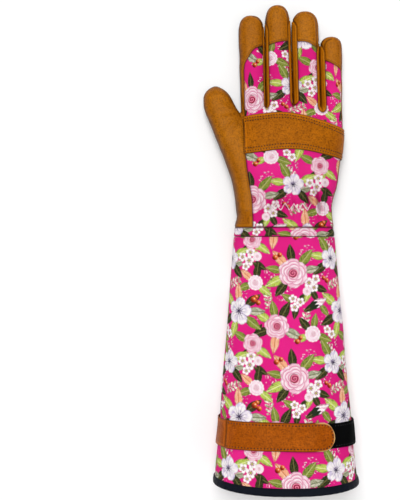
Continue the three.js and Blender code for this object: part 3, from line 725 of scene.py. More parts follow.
def tube(name, ys, grows, count, extra=lambda angle: 0):
    """A closed ring of cloth round the cuff's axis, through rows of y and of how far out they lie."""
    angle = 2 * np.pi * np.arange(count) / count + SIDE_SEAM
    co = np.vstack([cuff_at(np.full(count, y), angle, g + extra(angle)) for y, g in zip(ys, grows)])
    n = len(ys)
    i, k = np.meshgrid(np.arange(n), np.arange(count), indexing="ij")
    a, b = i * count + k, i * count + (k + 1) % count
    c, d = ((i + 1) % n) * count + (k + 1) % count, ((i + 1) % n) * count + k
    return make(name, co, np.stack([a, d, c, b], 2).reshape(-1, 4))


CUFF_SIDES = 300
SIDE_SEAM = math.radians(-6)           # the cuff's one seam runs down its thumbless side
HEM_END = -CUFF + BIND_T + CLEARANCE
outer_y = np.concatenate([np.linspace(HEM_END, HEM_END + 8, 8)[:-1], np.linspace(HEM_END + 8, -8, 150),
                          np.linspace(-8, -0.3, 10)[1:]])
inner_y = np.linspace(-0.3, HEM_END, 45)
ys = np.concatenate([outer_y, inner_y])
grows = np.concatenate([np.zeros(len(outer_y)), np.full(len(inner_y), -CLOTH)])
grows[len(outer_y) - 4:len(outer_y)] -= np.array([0.03, 0.08, 0.18, 0.35])
side_seam = lambda angle: -0.55 * (bump((angle - SIDE_SEAM) % (2 * np.pi), 0.018)
                                   + bump((SIDE_SEAM - angle) % (2 * np.pi), 0.018))
pieces["cuff"] = tube("cuff_cloth", ys, grows, CUFF_SIDES, side_seam)
cuff_angle = 2 * np.pi * np.arange(CUFF_SIDES) / CUFF_SIDES + SIDE_SEAM
around_seam = np.abs((np.tile(cuff_angle, len(ys)) - SIDE_SEAM + math.pi) % (2 * math.pi) - math.pi) * 55
# the cloth darkens towards the top seam and the side seam: a dark seam line with painted shade beside it
write(pieces["cuff"].data, "edge", np.minimum(np.abs(in_glove(pieces["cuff"])[:, 1]) + 1.0, around_seam + 0.15))

binding_rows = [(0.0, -0.4), (0.05, 0.5), (0.5, 1.15), (1.4, 1.45), (2.2, 1.2), (2.8, 1.5), (4.5, 1.62), (6.2, 1.5),
                (7.1, 0.95), (7.5, 0.1), (7.5, -1.3), (7.1, -2.1), (6.2, -2.6), (4.5, -2.75), (2.8, -2.65),
                (1.4, -2.6), (0.5, -2.3), (0.05, -1.8), (0.0, -0.9)]
pieces["hem_binding"] = tube("binding_tape", [-CUFF + BIND_H - row[0] for row in binding_rows],
                             [row[1] for row in binding_rows], 320)

STRAP_Y = -CUFF + STRAP_UP
ACROSS = 26                            # places across the strap and the loop patch
ribbon_stand = lambda a: 0.9 * abs(math.cos(a)) ** 2   # a ribbon lies less close at the cuff's two sides


def ribbon(name, angles, width, lift, thickness):
    """A flat strip round the cuff. Each angle has its width and lift; thickness is a function."""
    v = np.sin(np.linspace(-math.pi / 2, math.pi / 2, ACROSS))
    top, low = [], []
    for k, a in enumerate(angles):
        y, base = STRAP_Y + v * width[k] / 2, lift[k] + ribbon_stand(a)
        top.append(cuff_at(y, np.full(ACROSS, a), base + thickness(v, width[k], k)))
        low.append(cuff_at(y, np.full(ACROSS, a), base))
    n, size = len(angles), len(angles) * ACROSS
    faces = []
    for k in range(n - 1):
        for j in range(ACROSS - 1):
            a = k * ACROSS + j
            faces.append([a, a + ACROSS, a + ACROSS + 1, a + 1])
            faces.append([size + a, size + a + 1, size + a + ACROSS + 1, size + a + ACROSS])
        for j in (0, ACROSS - 1):
            a = k * ACROSS + j
            f = [a, size + a, size + a + ACROSS, a + ACROSS]
            faces.append(f[::-1] if j else f)
    for k in (0, n - 1):
        for j in range(ACROSS - 1):
            a = k * ACROSS + j
            f = [a, a + 1, size + a + 1, size + a]
            faces.append(f[::-1] if k else f)
    ob = make(name, np.vstack(top + low), faces)
    # distance from the long edges, which the leather darkens: a dark edge with painted shade along it
    write(ob.data, "edge", np.concatenate([(1 - np.abs(v)) * w / 2 for w in width] + [np.zeros(size)]))
    return ob


deg = math.radians
END_FROM, END_TURN, END_POWER = 66.6, 12.6, 2.2        # where the strap's round end begins, how far it goes, its form
MM_PER_DEGREE = 1.12                                   # along the strap, near its end
LOOP_ENDS = (72, -27)
end_width = lambda t: 1 - t ** END_POWER
# the strap lies on the cuff first, and then on the loop patch
strap_lift = lambda a: CLEARANCE + (CLEARANCE + LOOP_T) * step(-np.asarray(a, float), -99, -81)
angles = np.concatenate([np.linspace(207, END_FROM, 260),
                         END_FROM - END_TURN * np.sin(np.linspace(0, math.pi / 2, 26)[1:])])
width = STRAP_W * np.maximum(0.05, np.sqrt(np.maximum(0, end_width(np.clip((END_FROM - angles) / END_TURN, 0, 1)))))
FOLD_AT = 148.5                        # left of this angle the strap is one plain layer


def strap_profile(v, w, k):
    inside = (1 - np.abs(v)) * w / 2
    t = STRAP_T * (1 - 0.45 * (1 - step(inside, 0, 1.1)))
    sewn = step(FOLD_AT - angles[k], 0, 0.6)
    t = t - 0.35 * sewn * bump(inside - 2.4, 0.7)
    t = t - 0.85 * (1 - sewn) - 0.9 * bump(angles[k] - FOLD_AT, 0.7)
    return t + 0.18 * np.sin(angles[k] / 5.0 + v * 2)


pieces["strap"] = ribbon("strap", np.radians(angles), width, strap_lift(angles), strap_profile)
# distances from the edges again, now for the round end and the fold too, and the pale cut edge of the end
me = pieces["strap"].data
d = np.empty(len(me.vertices), np.float32)
me.attributes["edge"].data.foreach_get("value", d)
turn_of = np.tile(np.repeat(angles, ACROSS), 2)
round_end = np.column_stack([np.concatenate([angles, angles[::-1]]) * MM_PER_DEGREE,
                             STRAP_Y + np.concatenate([width, -width[::-1]]) / 2])
flat = np.column_stack([turn_of * MM_PER_DEGREE, in_glove(pieces["strap"])[:, 1]])
top_side = np.arange(len(flat)) < len(flat) // 2
d = np.where(top_side & (turn_of < 75), line_distance(flat, round_end), d)
write(me, "cut", top_side * (turn_of < 72) * (1 - step(d, 0.5, 1.1)) * (0.35 + 0.65 * step(-turn_of, -72, -66)))
# the fold is darkened too: painted shade in the fold
d = np.minimum(d, np.maximum(0, np.abs(turn_of - FOLD_AT) - 0.8) * 0.8)
me.attributes["edge"].data.foreach_set("value", d.astype(np.float32))
pieces["loop_patch"] = ribbon("loop_patch", np.radians(np.linspace(*LOOP_ENDS, 90)), [LOOP_W] * 90, [CLEARANCE] * 90,
                              lambda v, w, k: LOOP_T * (1 - 0.5 * (1 - step((1 - np.abs(v)) * w / 2, 0, 1.0)))
                              - 0.2 * bump((1 - np.abs(v)) * w / 2 - 2.3, 0.6))


# ---------------------------------------------------------------- stitches
class Over:
    """Finds the place on a set of pieces straight below or above a point."""

    def __init__(self, names, up=True):
        co, faces, base = [], [], 0
        for name in names:
            co.append(in_glove(pieces[name]))
            faces += [[i + base for i in p.vertices] for p in pieces[name].data.polygons]
            base += len(co[-1])
        self.tree = BVHTree.FromPolygons(np.vstack(co).tolist(), faces)
        self.up = up

    def at(self, x, y):
        z, way = (150, -1) if self.up else (-5, 1)
        hit, normal, _, _ = self.tree.ray_cast(Vector((x, y, z)), Vector((0, 0, way)))
        if hit is None:
            return None
        return hit, normal if normal.z * way < 0 else -normal


SIDES = 6                              # of a stitch and of the elastic's thread


def stitches(name, rows, length, radius):
    """One mesh of many stitches, each a small capsule: rows are lists of (place, way, normal)."""
    t = np.array([-0.5, -0.42, -0.2, 0.2, 0.42, 0.5]) * length
    r = np.array([0.15, 0.72, 1.0, 1.0, 0.72, 0.15]) * radius
    co, faces = [], []
    for place, way, normal in rows:
        n = np.array(normal, float)
        w = np.array(way, float)
        w = w - n * (w @ n)
        w /= max(np.linalg.norm(w), 1e-9)
        s = np.cross(n, w)
        base = len(co)
        for ti, ri in zip(t, r):
            dip = -abs(ti) / length * radius * 1.1
            centre = np.array(place) + w * ti + n * (radius * 0.35 + dip)
            for k in range(SIDES):
                a = 2 * math.pi * k / SIDES
                co.append(centre + s * ri * math.cos(a) + n * ri * math.sin(a) * 0.8)
        for i in range(len(t) - 1):
            for k in range(SIDES):
                a, b = base + i * SIDES + k, base + i * SIDES + (k + 1) % SIDES
                faces.append([a, b, b + SIDES, a + SIDES])
        faces.append([base + k for k in reversed(range(SIDES))])
        faces.append([base + (len(t) - 1) * SIDES + k for k in range(SIDES)])
    return make(name, np.maximum(np.array(co), [-1e9, -1e9, 0.01]), faces)


def laid(over, line, pitch, closed=False):
    """The places and normals of a line in the plane, laid on what is there."""
    hits = [over.at(x, y) for x, y in resample(line, pitch, closed)[0]]
    return [(np.array(hit[0]), np.array(hit[1])) for hit in hits if hit]


def sewn(over, line, pitch=2.6, closed=False):
    """Stitch places along a line."""
    placed = laid(over, line, 0.8, closed)
    if len(placed) < 3:
        return []
    p = np.array([q[0] for q in placed])
    at, way = resample(p, pitch)
    nearest = [placed[int(np.argmin(np.linalg.norm(p - place, axis=1)))][1] for place in at]
    return list(zip(at, way, nearest))


on_band = Over(["knuckle_band"])
rows = []
for line, sign in ((band_low, 1), (band_high, -1)):
    for inside in ROWS_IN:
        rows += sewn(on_band, off(line, inside * sign), 2.65)
pieces["stitches_band"] = stitches("stitches_band", rows, 1.5, 0.6)

top_leather = Over(["palm_leather", "thumb_leather"] + STRIPS)
rows = []
for k in range(4):
    rows += sewn(top_leather, off(curve(cap_seam(k), 24), 1.9), 1.7)
thumb_line = chaikin(share(THUMB_SEAM), 2)
rows += sewn(top_leather, off(thumb_line[thumb_line[:, 1] > YOKE + 2], 1.9), 2.2)
pieces["stitches_seams"] = stitches("stitches_seams", rows, 1.15, 0.34)

on_patch = Over(["palm_patch"], up=False)
rows = []
for inside in QUILT:
    rows += sewn(on_patch, off(patch_line, inside, True), closed=True)
for inside in QUILT:
    for sign in (-1, 1):
        rows += sewn(on_patch, off(channel_line[:-4], (CHANNEL / 2 + inside) * sign))
for inside in QUILT:
    rows += sewn(on_patch, round_drop(DROP + inside, np.linspace(-0.2, 2 * math.pi - 0.9, 60)))
for line in (lens, thenar):
    rows += sewn(on_patch, line, closed=True)
pieces["stitches_patch"] = stitches("stitches_patch", rows, 1.8, 0.3)


def ribbon_rows(inside, degrees, lift, w, thick, round_end=False):
    """The stitches along a ribbon's two edges, and round its end if it is round."""
    up, down = [], []
    for a in degrees:
        h = w / 2 - inside
        if round_end:
            t = min(1.0, max(0.0, (END_FROM - a) / (END_TURN - inside / 1.15)))
            h = h * math.sqrt(max(0.0, end_width(t)))
        for side, out in ((1, up), (-1, down)):
            out.append(cuff_at(np.array([STRAP_Y + side * h]), np.array([deg(a)]),
                               float(lift(a)) + ribbon_stand(deg(a)) + thick - 0.25)[0])
    rows = []
    for p in [np.array(up + down[::-1])] if round_end else [np.array(up), np.array(down)]:
        for place, way in zip(*resample(p, 3.1)):
            n = place - [0, place[1], CUFF_REST + 30]
            rows.append((place, way, n / np.linalg.norm(n)))
    return rows


rows = ribbon_rows(2.4, np.linspace(FOLD_AT - 1.5, 55.6, 200), strap_lift, STRAP_W, STRAP_T, True)
pieces["stitches_strap"] = stitches("stitches_strap", rows, 2.0, 0.58)
rows = ribbon_rows(2.3, np.linspace(52, -25, 200), lambda a: CLEARANCE, LOOP_W, LOOP_T - 0.05)
pieces["stitches_loop"] = stitches("stitches_loop", rows, 1.8, 0.26)

# the zigzag of elastic thread at the wrist
STROKES, THREAD_RADIUS = 9, 0.43
zigzag = [(-13.5 + 38.5 * k / STROKES, 28.6 + (3.3 if k % 2 else -3.3)) for k in range(STROKES + 1)]
thread = np.array([place + normal * 0.22 for place, normal in laid(Over(["back_cloth"]), zigzag, 0.45)])
co, faces = [], []
for k, p in enumerate(thread):
    w = thread[min(k + 1, len(thread) - 1)] - thread[max(k - 1, 0)]
    w /= np.linalg.norm(w)
    s = np.cross([0, 0, 1.0], w)
    s /= np.linalg.norm(s)
    n = np.cross(w, s)
    for j in range(SIDES):
        a = 2 * math.pi * j / SIDES
        co.append(p + (s * math.cos(a) + n * math.sin(a)) * THREAD_RADIUS)
    if k:
        a = (k - 1) * SIDES
        faces += [[a + j, a + (j + 1) % SIDES, a + SIDES + (j + 1) % SIDES, a + SIDES + j] for j in range(SIDES)]
faces += [list(range(SIDES))[::-1], [(len(thread) - 1) * SIDES + j for j in range(SIDES)]]
pieces["elastic_thread"] = make("elastic_thread", np.array(co), faces)

# ---------------------------------------------------------------- the print
TILE_W, TILE_H = 104.0, 98.0
ROSE, BLOOM, BLOSSOM, ROUNDEL, LEAF, SPRAY, SPRIG, BERRY, BUD = range(9)
PEACH, OLIVE, LIME, DARK, GREY = 0.1, 0.35, 0.6, 0.8, 0.93
MOTIFS = [  # kind, u, v, size, turn in degrees, variant from 0 to 0.9; the first lie on top
    (ROSE, 29, 69, 14.2, 10, .1), (BLOOM, 80, 33, 13.4, 0, .3), (ROSE, 13, 19, 11.8, 120, .5),
    (BLOOM, 68, 83, 11.2, 40, .7), (ROUNDEL, 47, 12, 8.0, 60, .7), (ROUNDEL, 97, 60, 7.6, 0, .2),
    (ROSE, 94, 3, 9.6, 200, .8), (BUD, 53.5, 41, 9.8, 24, .3)]
for group in ([(44, 60, 5.2), (51, 63.5, 4.8), (49, 55.5, 4.7), (42, 52, 4.3)],
              [(91, 81, 5.3), (84, 84.5, 4.7), (92.5, 89, 4.8), (99, 85, 4.6), (87.5, 75.5, 4.2)],
              [(30, 37, 4.6), (35.5, 42, 4.4), (28.5, 45, 4.2)], [(62, 16, 4.2), (67, 11.5, 4.4)]):
    MOTIFS += [(BLOSSOM, u, v, size, 37 * k, (k * 0.3 + 0.1) % 1) for k, (u, v, size) in enumerate(group)]
MOTIFS += [(BERRY, u, v, size, 0, .4) for u, v, size in
           [(95, 44, 2.9), (99.5, 41, 2.6), (97.5, 46.5, 2.3), (12, 84, 2.7), (16.5, 86.5, 2.4), (32, 5, 2.6),
            (35, 8.6, 2.2), (63, 62, 2.5), (59.5, 64.5, 2.2)]]
for u, v, size, leaves in [             # leaves round a place: turn, length and variant
        (29, 69, 14.2, [(205, 10.5, LIME), (50, 10.5, OLIVE), (132, 10.0, PEACH), (96, 9.5, DARK), (232, 9.5, DARK),
                        (168, 8.5, OLIVE), (12, 8.5, GREY)]),
        (80, 33, 13.4, [(208, 10.0, DARK), (142, 10.5, LIME), (-38, 10.0, OLIVE), (36, 9.5, DARK), (92, 9.5, PEACH),
                        (250, 10.0, LIME), (0, 9, GREY)]),
        (13, 19, 11.8, [(-24, 10.0, GREY), (146, 9.5, LIME), (62, 10.0, DARK), (100, 9.0, OLIVE), (200, 9.5, DARK),
                        (262, 9.5, PEACH)]),
        (68, 83, 11.2, [(22, 9.5, LIME), (218, 9.5, DARK), (120, 9.5, OLIVE), (-50, 9.0, DARK), (170, 9.0, LIME)]),
        (47, 12, 8.0, [(-20, 9.0, OLIVE), (130, 8.5, DARK), (200, 8.0, LIME), (80, 8, OLIVE)]),
        (97, 60, 7.6, [(200, 8.5, OLIVE), (80, 8.5, DARK), (-40, 8.5, LIME), (140, 8, PEACH)]),
        (94, 3, 9.6, [(152, 9.0, OLIVE), (238, 9.0, DARK), (-38, 8.5, LIME), (60, 9.0, DARK)]),
        (91, 82, 8.0, [(196, 8.5, GREY), (62, 8.5, LIME), (-30, 8.0, DARK)]),
        (53.5, 41, 6.0, [(208, 7.5, DARK), (-50, 7.5, OLIVE), (120, 7.0, DARK)]),
        (46, 58, 7.0, [(-20, 8.0, DARK), (250, 7.5, LIME)]),
        (32, 41, 5.0, [(150, 8.0, OLIVE), (260, 7.5, DARK), (40, 7.0, DARK)])]:
    for turn_, length, variant in leaves:
        away = size + length * 0.5
        MOTIFS.append((LEAF, u + away * math.cos(deg(turn_)), v + away * math.sin(deg(turn_)),
                       length, turn_, variant))
MOTIFS += [(SPRIG, 40, 26, 9.6, 75, .2), (SPRIG, 73, 60, 9.8, 20, .6), (SPRIG, 5, 45, 9.4, 100, .8),
           (SPRIG, 62, 0, 8.6, 130, .4),
           (SPRAY, 20, 51, 8.4, 0, .1), (SPRAY, 57, 70, 8.6, 30, .5), (SPRAY, 84, 52, 8.2, 60, .3),
           (SPRAY, 43, 88, 8.0, 0, .8), (SPRAY, 66, 3, 8.4, 15, .6), (SPRAY, 60, 26, 7.6, 0, .2),
           (SPRAY, 101, 24, 7.4, 40, .9), (SPRAY, 8, 68, 7.2, 0, .4)]


LAYERS = 3                             # motifs that can lie over one another at one place


def print_on(ob, uv, outer_count, scale=1.0):
    """Writes the cloth's own place and up to three motifs' own places on each face's corners."""
    me = ob.data
    write(me, "lining", np.arange(len(me.vertices)) >= outer_count)
    loops, total = np.empty(len(me.loops), np.int64), np.empty(len(me.polygons), np.int64)
    me.loops.foreach_get("vertex_index", loops)
    me.polygons.foreach_get("loop_total", total)
    face = np.repeat(np.arange(len(total)), total)
    corner = uv(loops, face)
    centre = np.stack([np.bincount(face, corner[:, k]) / total for k in range(2)], 1)
    reach = np.zeros(len(total))
    np.maximum.at(reach, face, np.linalg.norm(corner - centre[face], axis=1))
    layers = [np.tile([5.0, 5.0, 0.0], (len(loops), 1)) for _ in range(LAYERS)]
    used = np.zeros(len(total), int)
    for kind, u, v, size, turn_, variant in MOTIFS:
        size = size * scale
        ca, sa = math.cos(deg(turn_)), math.sin(deg(turn_))
        own = lambda p: ((p[:, 0] * ca + p[:, 1] * sa) / size, (-p[:, 0] * sa + p[:, 1] * ca) / size)
        d = np.stack([(centre[:, 0] - u + TILE_W / 2) % TILE_W - TILE_W / 2,
                      (centre[:, 1] - v + TILE_H / 2) % TILE_H - TILE_H / 2], 1)
        x, y = own(d)
        m = reach / size + 0.02
        if kind in (LEAF, SPRIG, BUD):
            on = (np.abs(x) < 1.02 + m) & (np.abs(y) < 0.58 + m)
        else:
            on = np.hypot(x, y) < 1.06 + m
        on &= used < LAYERS
        which = np.nonzero(on[face])[0]
        f = face[which]
        x, y = own(corner[which] - centre[f] + d[f])
        for k in range(LAYERS):
            sel = used[f] == k
            layers[k][which[sel]] = np.stack([x[sel], y[sel], np.full(sel.sum(), kind + variant)], 1)
        used[on] += 1
    for k in range(LAYERS):
        write(me, "motif_%d" % (k + 1), layers[k], "FLOAT_VECTOR", "CORNER", "vector")
    write(me, "cloth", np.column_stack([corner, np.zeros(len(corner))]), "FLOAT_VECTOR", "CORNER", "vector")


def cuff_uv(loops, face):
    """Arc length from the top's middle, and y: the cloth is cut at the side seam."""
    co = in_glove(pieces["cuff"])
    ring, k = loops // CUFF_SIDES, loops % CUFF_SIDES
    rows = co.reshape(-1, CUFF_SIDES, 3)
    steps = np.linalg.norm(np.roll(rows, -1, 1) - rows, axis=2)
    s = np.concatenate([np.zeros((len(rows), 1)), np.cumsum(steps, 1)], 1)
    top = int(np.argmin(np.abs((cuff_angle - math.pi / 2 + math.pi) % (2 * math.pi) - math.pi)))
    # a face across the seam reads its last corners as the ring's end
    last = np.zeros(face.max() + 1, int)
    np.maximum.at(last, face, k)
    k = np.where((k == 0) & (last[face] == CUFF_SIDES - 1), CUFF_SIDES, k)
    return np.stack([s[ring, top] - s[ring, k], co[loops, 1]], 1)


def flat_uv(ob, du, dv):
    """The place seen from above, unrolled down the hand's two sides."""
    x, y, z = in_glove(ob).T
    left, right = [side * PALM for side in columns(HAND_ROWS, np.clip(y / HAND, 0, CROTCH))[:2]]
    down = 0.9 * np.maximum(0, 27 - z)
    x = x + down * (step(x, right - 9, right - 2) - (1 - step(x, left + 2, left + 9)))
    return lambda loops, face: np.stack([x[loops] + du, y[loops] + dv], 1)


print_on(pieces["cuff"], lambda l, f: cuff_uv(l, f) + np.array([23.0, 6.0]), len(outer_y) * CUFF_SIDES)
for name, du, dv in (("back_cloth", 61.0, 33.0), ("wrist_yoke", 12.0, 71.0)):
    print_on(pieces[name], flat_uv(pieces[name], du, dv), len(pieces[name].data.vertices) // 2, 0.96)


# ---------------------------------------------------------------- materials
MATHS = {"add": "ADD", "sub": "SUBTRACT", "mul": "MULTIPLY", "mad": "MULTIPLY_ADD", "pow": "POWER", "abs": "ABSOLUTE",
         "min": "MINIMUM", "max": "MAXIMUM", "sin": "SINE", "cos": "COSINE", "fract": "FRACT", "more": "GREATER_THAN",
         "less": "LESS_THAN"}


def settle(node, **values):
    """Sets a node's inputs by their names, which have underlines here for their spaces."""
    for name, value in values.items():
        node.inputs[name.replace("_", " ")].default_value = value


class Nodes:
    """A short way to write a material's nodes: each name in MATHS is a method that adds such a node."""

    def __init__(self, tree):
        self.t = tree
        for short, operation in MATHS.items():
            setattr(self, short, partial(self.m, operation))

    def node(self, kind, **props):
        n = self.t.nodes.new(kind)
        for k, v in props.items():
            setattr(n, k, v)
        return n

    def put(self, socket, value):
        if isinstance(value, bpy.types.NodeSocket):
            self.t.links.new(value, socket)
        else:
            socket.default_value = value

    def m(self, op, *args, clamp=False):
        n = self.node("ShaderNodeMath", operation=op, use_clamp=clamp)
        for s, a in zip(n.inputs, args):
            self.put(s, a)
        return n.outputs[0]

    def fall(self, power):
        """e to a power, for what fades with the distance."""
        return self.m("POWER", 2.718, power)

    def split(self, vector):
        n = self.node("ShaderNodeSeparateXYZ")
        self.put(n.inputs[0], vector)
        return n.outputs

    def mix(self, factor, a, b, blend="MIX"):
        n = self.node("ShaderNodeMix", data_type="RGBA", blend_type=blend, clamp_factor=True)
        self.put(n.inputs[0], factor)
        for socket, color in ((n.inputs[6], a), (n.inputs[7], b)):
            self.put(socket, color if isinstance(color, bpy.types.NodeSocket) else (*color, 1))
        return n.outputs[2]

    def attribute(self, name, output):
        return self.node("ShaderNodeAttribute", attribute_name=name).outputs[output]

    def edge(self, value, sharp=14.0):
        """0 outside, 1 inside, with a short soft step."""
        return self.m("MULTIPLY_ADD", value, sharp, 0.5, clamp=True)

    def noise(self, vector, scale, detail=2.0, rough=0.5):
        n = self.node("ShaderNodeTexNoise")
        self.put(n.inputs["Vector"], vector)
        settle(n, Scale=scale, Detail=detail, Roughness=rough)
        return n.outputs[0]

    def bump(self, height, strength, distance, before=None):
        n = self.node("ShaderNodeBump")
        self.put(n.inputs["Height"], height)
        settle(n, Strength=strength, Distance=distance)
        if before is not None:
            self.put(n.inputs["Normal"], before)
        return n.outputs[0]


def material(name):
    """A new material, a way to write its nodes, its shader and each point's own place."""
    mat = bpy.data.materials.new(name)
    mat.use_nodes = True
    mat.node_tree.nodes.clear()
    g = Nodes(mat.node_tree)
    out = g.node("ShaderNodeOutputMaterial")
    shader = g.node("ShaderNodeBsdfPrincipled")
    mat.node_tree.links.new(shader.outputs[0], out.inputs[0])
    where = g.node("ShaderNodeTexCoord").outputs["Object"]
    return mat, g, shader, where


def motif_group():
    """One printed motif, from its own place: its colour and where it covers the ground."""
    tree = bpy.data.node_groups.new("motif", "ShaderNodeTree")
    for name, way, kind in (("Place", "INPUT", "Vector"), ("Color", "OUTPUT", "Color"), ("Cover", "OUTPUT", "Float"),
                            ("Swell", "INPUT", "Float"), ("Fine", "INPUT", "Float"), ("Seeds", "INPUT", "Float")):
        tree.interface.new_socket(name, in_out=way, socket_type="NodeSocket" + kind)
    g = Nodes(tree)
    place, n, fine, seeds = g.node("NodeGroupInput").outputs[:4]
    x, y, code = g.split(place)
    kind = g.m("FLOOR", code)
    seed = g.mul(g.fract(code), 20.0)
    r = g.m("SQRT", g.add(g.mul(x, x), g.mul(y, y)))
    th = g.m("ARCTAN2", y, x)
    side = g.abs(y)
    wob = g.sub(n, 0.5)

    def petals(count, low, high, exponent, add=0.0):
        """The outline's reach at this angle, for an outline with petals."""
        c = g.abs(g.cos(g.mad(th, count / 2, g.add(seed, add))))
        return g.mad(g.pow(c, exponent), high - low, low)

    painted = []

    def draw(motif, cover, color):
        """Lays one kind of motif over the kinds before it."""
        on = g.m("COMPARE", kind, float(motif), 0.5)
        part = g.mul(on, cover)
        painted[:] = [g.add(painted[0], part), g.mix(on, painted[1], color)] if painted else [part, color]

    gate = g.mad(fine, 14.0, -6.6, clamp=True)

    def ink(e, base, tint, amount, wide=0.07):
        """A broken drawn line along the motif's outline."""
        on = g.mul(g.less(e, wide), gate)
        return g.mix(g.mul(on, amount), base, tint)

    def taper(exponent, lean, half):
        """Half the width at x of a form with a point at both ends."""
        return g.mul(g.pow(g.max(g.sub(1.0, g.mul(x, x)), 0.0), exponent),
                   g.mad(x, lean, half))

    # rose: three rings of petals, each pale at its rim over the next one's shade, round a crimson heart
    reach = petals(6, 0.84, 0.99, 0.6)
    e = g.sub(g.mad(wob, 0.14, reach), r)
    rose = g.mix(g.mad(n, 3.0, -1.1, clamp=True), (0.90, 0.50, 0.63), (1.0, 0.90, 0.93))
    for count, low, high, add in ((5, 0.60, 0.77, 1.0), (4, 0.42, 0.56, 2.1), (3, 0.27, 0.38, 0.4)):
        past = g.sub(r, g.mad(wob, 0.16, petals(count, low, high, 0.6, add)))
        shade = g.mul(g.mad(past, -7.5, 1.0, clamp=True), g.more(past, 0.0))
        rose = g.mix(g.mul(shade, 0.85), rose, (0.66, 0.09, 0.26))
        lit = g.mul(g.mad(past, 8.0, 1.0, clamp=True), g.less(past, 0.0))
        rose = g.mix(g.mul(lit, 0.9), rose, (1.0, 0.92, 0.94))
    turn_ = g.fract(g.mad(th, 0.15915, g.mad(r, 6.2, g.mul(wob, 0.8))))
    core = g.mix(g.more(turn_, 0.5), (0.25, 0.0, 0.02), (0.86, 0.22, 0.36))
    rose = g.mix(g.mad(r, -9.0, 3.4, clamp=True), rose, core)
    draw(ROSE, g.edge(e, 24), ink(e, rose, (0.45, 0.06, 0.18), 0.6))
    # mauve bloom: five wide petals with violet streaks
    reach = petals(5, 0.66, 0.99, 0.55)
    e = g.sub(g.mad(wob, 0.16, reach), r)
    streak = g.sin(g.mad(fine, 6.0, g.mul(th, 14.0)))
    streak = g.mul(g.mad(streak, 2.6, -1.3, clamp=True),
                 g.mad(r, -2.0, 1.55, clamp=True))
    bloom = g.mix(g.mad(n, 3.4, -0.85, clamp=True), (0.60, 0.50, 0.74), (1.0, 0.95, 0.95))
    fold = g.mad(g.sub(reach, 0.66), -9.0, 1.0, clamp=True)
    bloom = g.mix(g.mul(fold, 0.75), bloom, (0.26, 0.18, 0.46))
    bloom = g.mix(g.mul(streak, 0.92), bloom, (0.085, 0.02, 0.16))
    eye = g.sub(g.mad(g.cos(g.mul(th, 7.0)), 0.10, 0.17), r)
    bloom = g.mix(g.edge(eye, 16), bloom, (0.02, 0.006, 0.05))
    draw(BLOOM, g.edge(e, 24), ink(e, bloom, (0.20, 0.12, 0.36), 0.6))
    # small white blossom
    reach = petals(5, 0.56, 0.99, 0.6, 0.7)
    e = g.sub(reach, r)
    small = g.mix(g.mad(r, 3.0, -0.7, clamp=True), (0.88, 0.50, 0.60), (1.0, 0.97, 0.96))
    small = g.mix(g.mul(g.less(g.sub(reach, 0.56), 0.07), 0.7), small, (0.50, 0.24, 0.34))
    small = g.mix(g.edge(g.sub(0.2, r), 12), small, (0.36, 0.40, 0.03))
    dots = g.mul(g.less(g.abs(g.sub(r, 0.33)), 0.09), g.more(g.cos(g.mul(th, 6.0)), 0.3))
    small = g.mix(dots, small, (0.10, 0.008, 0.025))
    draw(BLOSSOM, g.edge(e, 12), ink(e, small, (0.30, 0.10, 0.16), 0.5, 0.12))
    # round pale bloom with short crimson strokes
    reach = petals(13, 0.84, 0.97, 0.5)
    e = g.sub(g.mad(wob, 0.08, reach), r)
    ring = g.fract(g.mad(fine, 2.2, g.mul(r, 3.0)))
    roundel = g.mix(g.mad(ring, 2.2, -0.2, clamp=True), (0.86, 0.48, 0.62), (1.0, 0.91, 0.94))
    stroke = g.mul(g.more(g.cos(g.mad(fine, 2.5, g.mul(th, 9.0))), 0.35), g.less(g.add(r, g.mul(wob, 0.5)), 0.30))
    roundel = g.mix(g.mul(stroke, 0.85), roundel, (0.48, 0.02, 0.11))
    draw(ROUNDEL, g.edge(e, 16), roundel)
    # leaf along x, with a midrib and side veins: peach, olive, lime, nearly black, grey-green
    wide = taper(0.85, -0.14, 0.46)
    wide = g.mad(g.sin(g.mul(x, 24.0)), 0.014, wide)
    e = g.sub(g.sub(wide, side), 0.03)
    vein = g.fract(g.mul(g.sub(x, g.mul(side, 0.95)), 4.2))

    def five(*colors):
        """One of five colours, by the leaf's variant."""
        ramp = g.node("ShaderNodeValToRGB")
        ramp.color_ramp.interpolation = "CONSTANT"
        while len(ramp.color_ramp.elements) < 5:
            ramp.color_ramp.elements.new(0.5)
        for el, at, c in zip(ramp.color_ramp.elements, (0.0, 0.25, 0.5, 0.7, 0.88), colors):
            el.position, el.color = at, (*c, 1)
        g.put(ramp.inputs[0], g.fract(code))
        return ramp.outputs[0]

    leaf = five((0.95, 0.50, 0.28), (0.19, 0.26, 0.02), (0.44, 0.58, 0.05), (0.006, 0.014, 0.005), (0.44, 0.46, 0.30))
    blotch = five((1.0, 0.74, 0.50), (0.035, 0.055, 0.007), (0.09, 0.15, 0.010), (0.020, 0.028, 0.009),
                  (0.80, 0.78, 0.62))
    veins = five((0.60, 0.14, 0.04), (0.50, 0.52, 0.18), (0.86, 0.90, 0.42), (0.17, 0.16, 0.045), (0.12, 0.14, 0.06))
    leaf = g.mix(g.mad(n, 7.0, -3.5, clamp=True), leaf, blotch)
    leaf = g.mix(g.mul(g.mad(fine, 9.0, -5.0, clamp=True), 0.55), leaf, veins)
    leaf = g.mix(g.mul(g.less(vein, 0.22), 0.5), leaf, veins)
    leaf = g.mix(g.mul(g.less(side, 0.045), 0.85), leaf, veins)
    leaf = ink(e, leaf, (0.012, 0.016, 0.005), 0.7, 0.06)
    draw(LEAF, g.edge(e, 20), leaf)
    # seed spray: dots that thin out
    e = g.min(g.sub(0.36, seeds), g.sub(g.min(g.mad(n, 1.7, 0.3), 1.0), r))
    spray = g.mix(g.more(fine, 0.5), (1.0, 0.74, 0.82), (0.26, 0.002, 0.035))
    draw(SPRAY, g.edge(e, 16), spray)
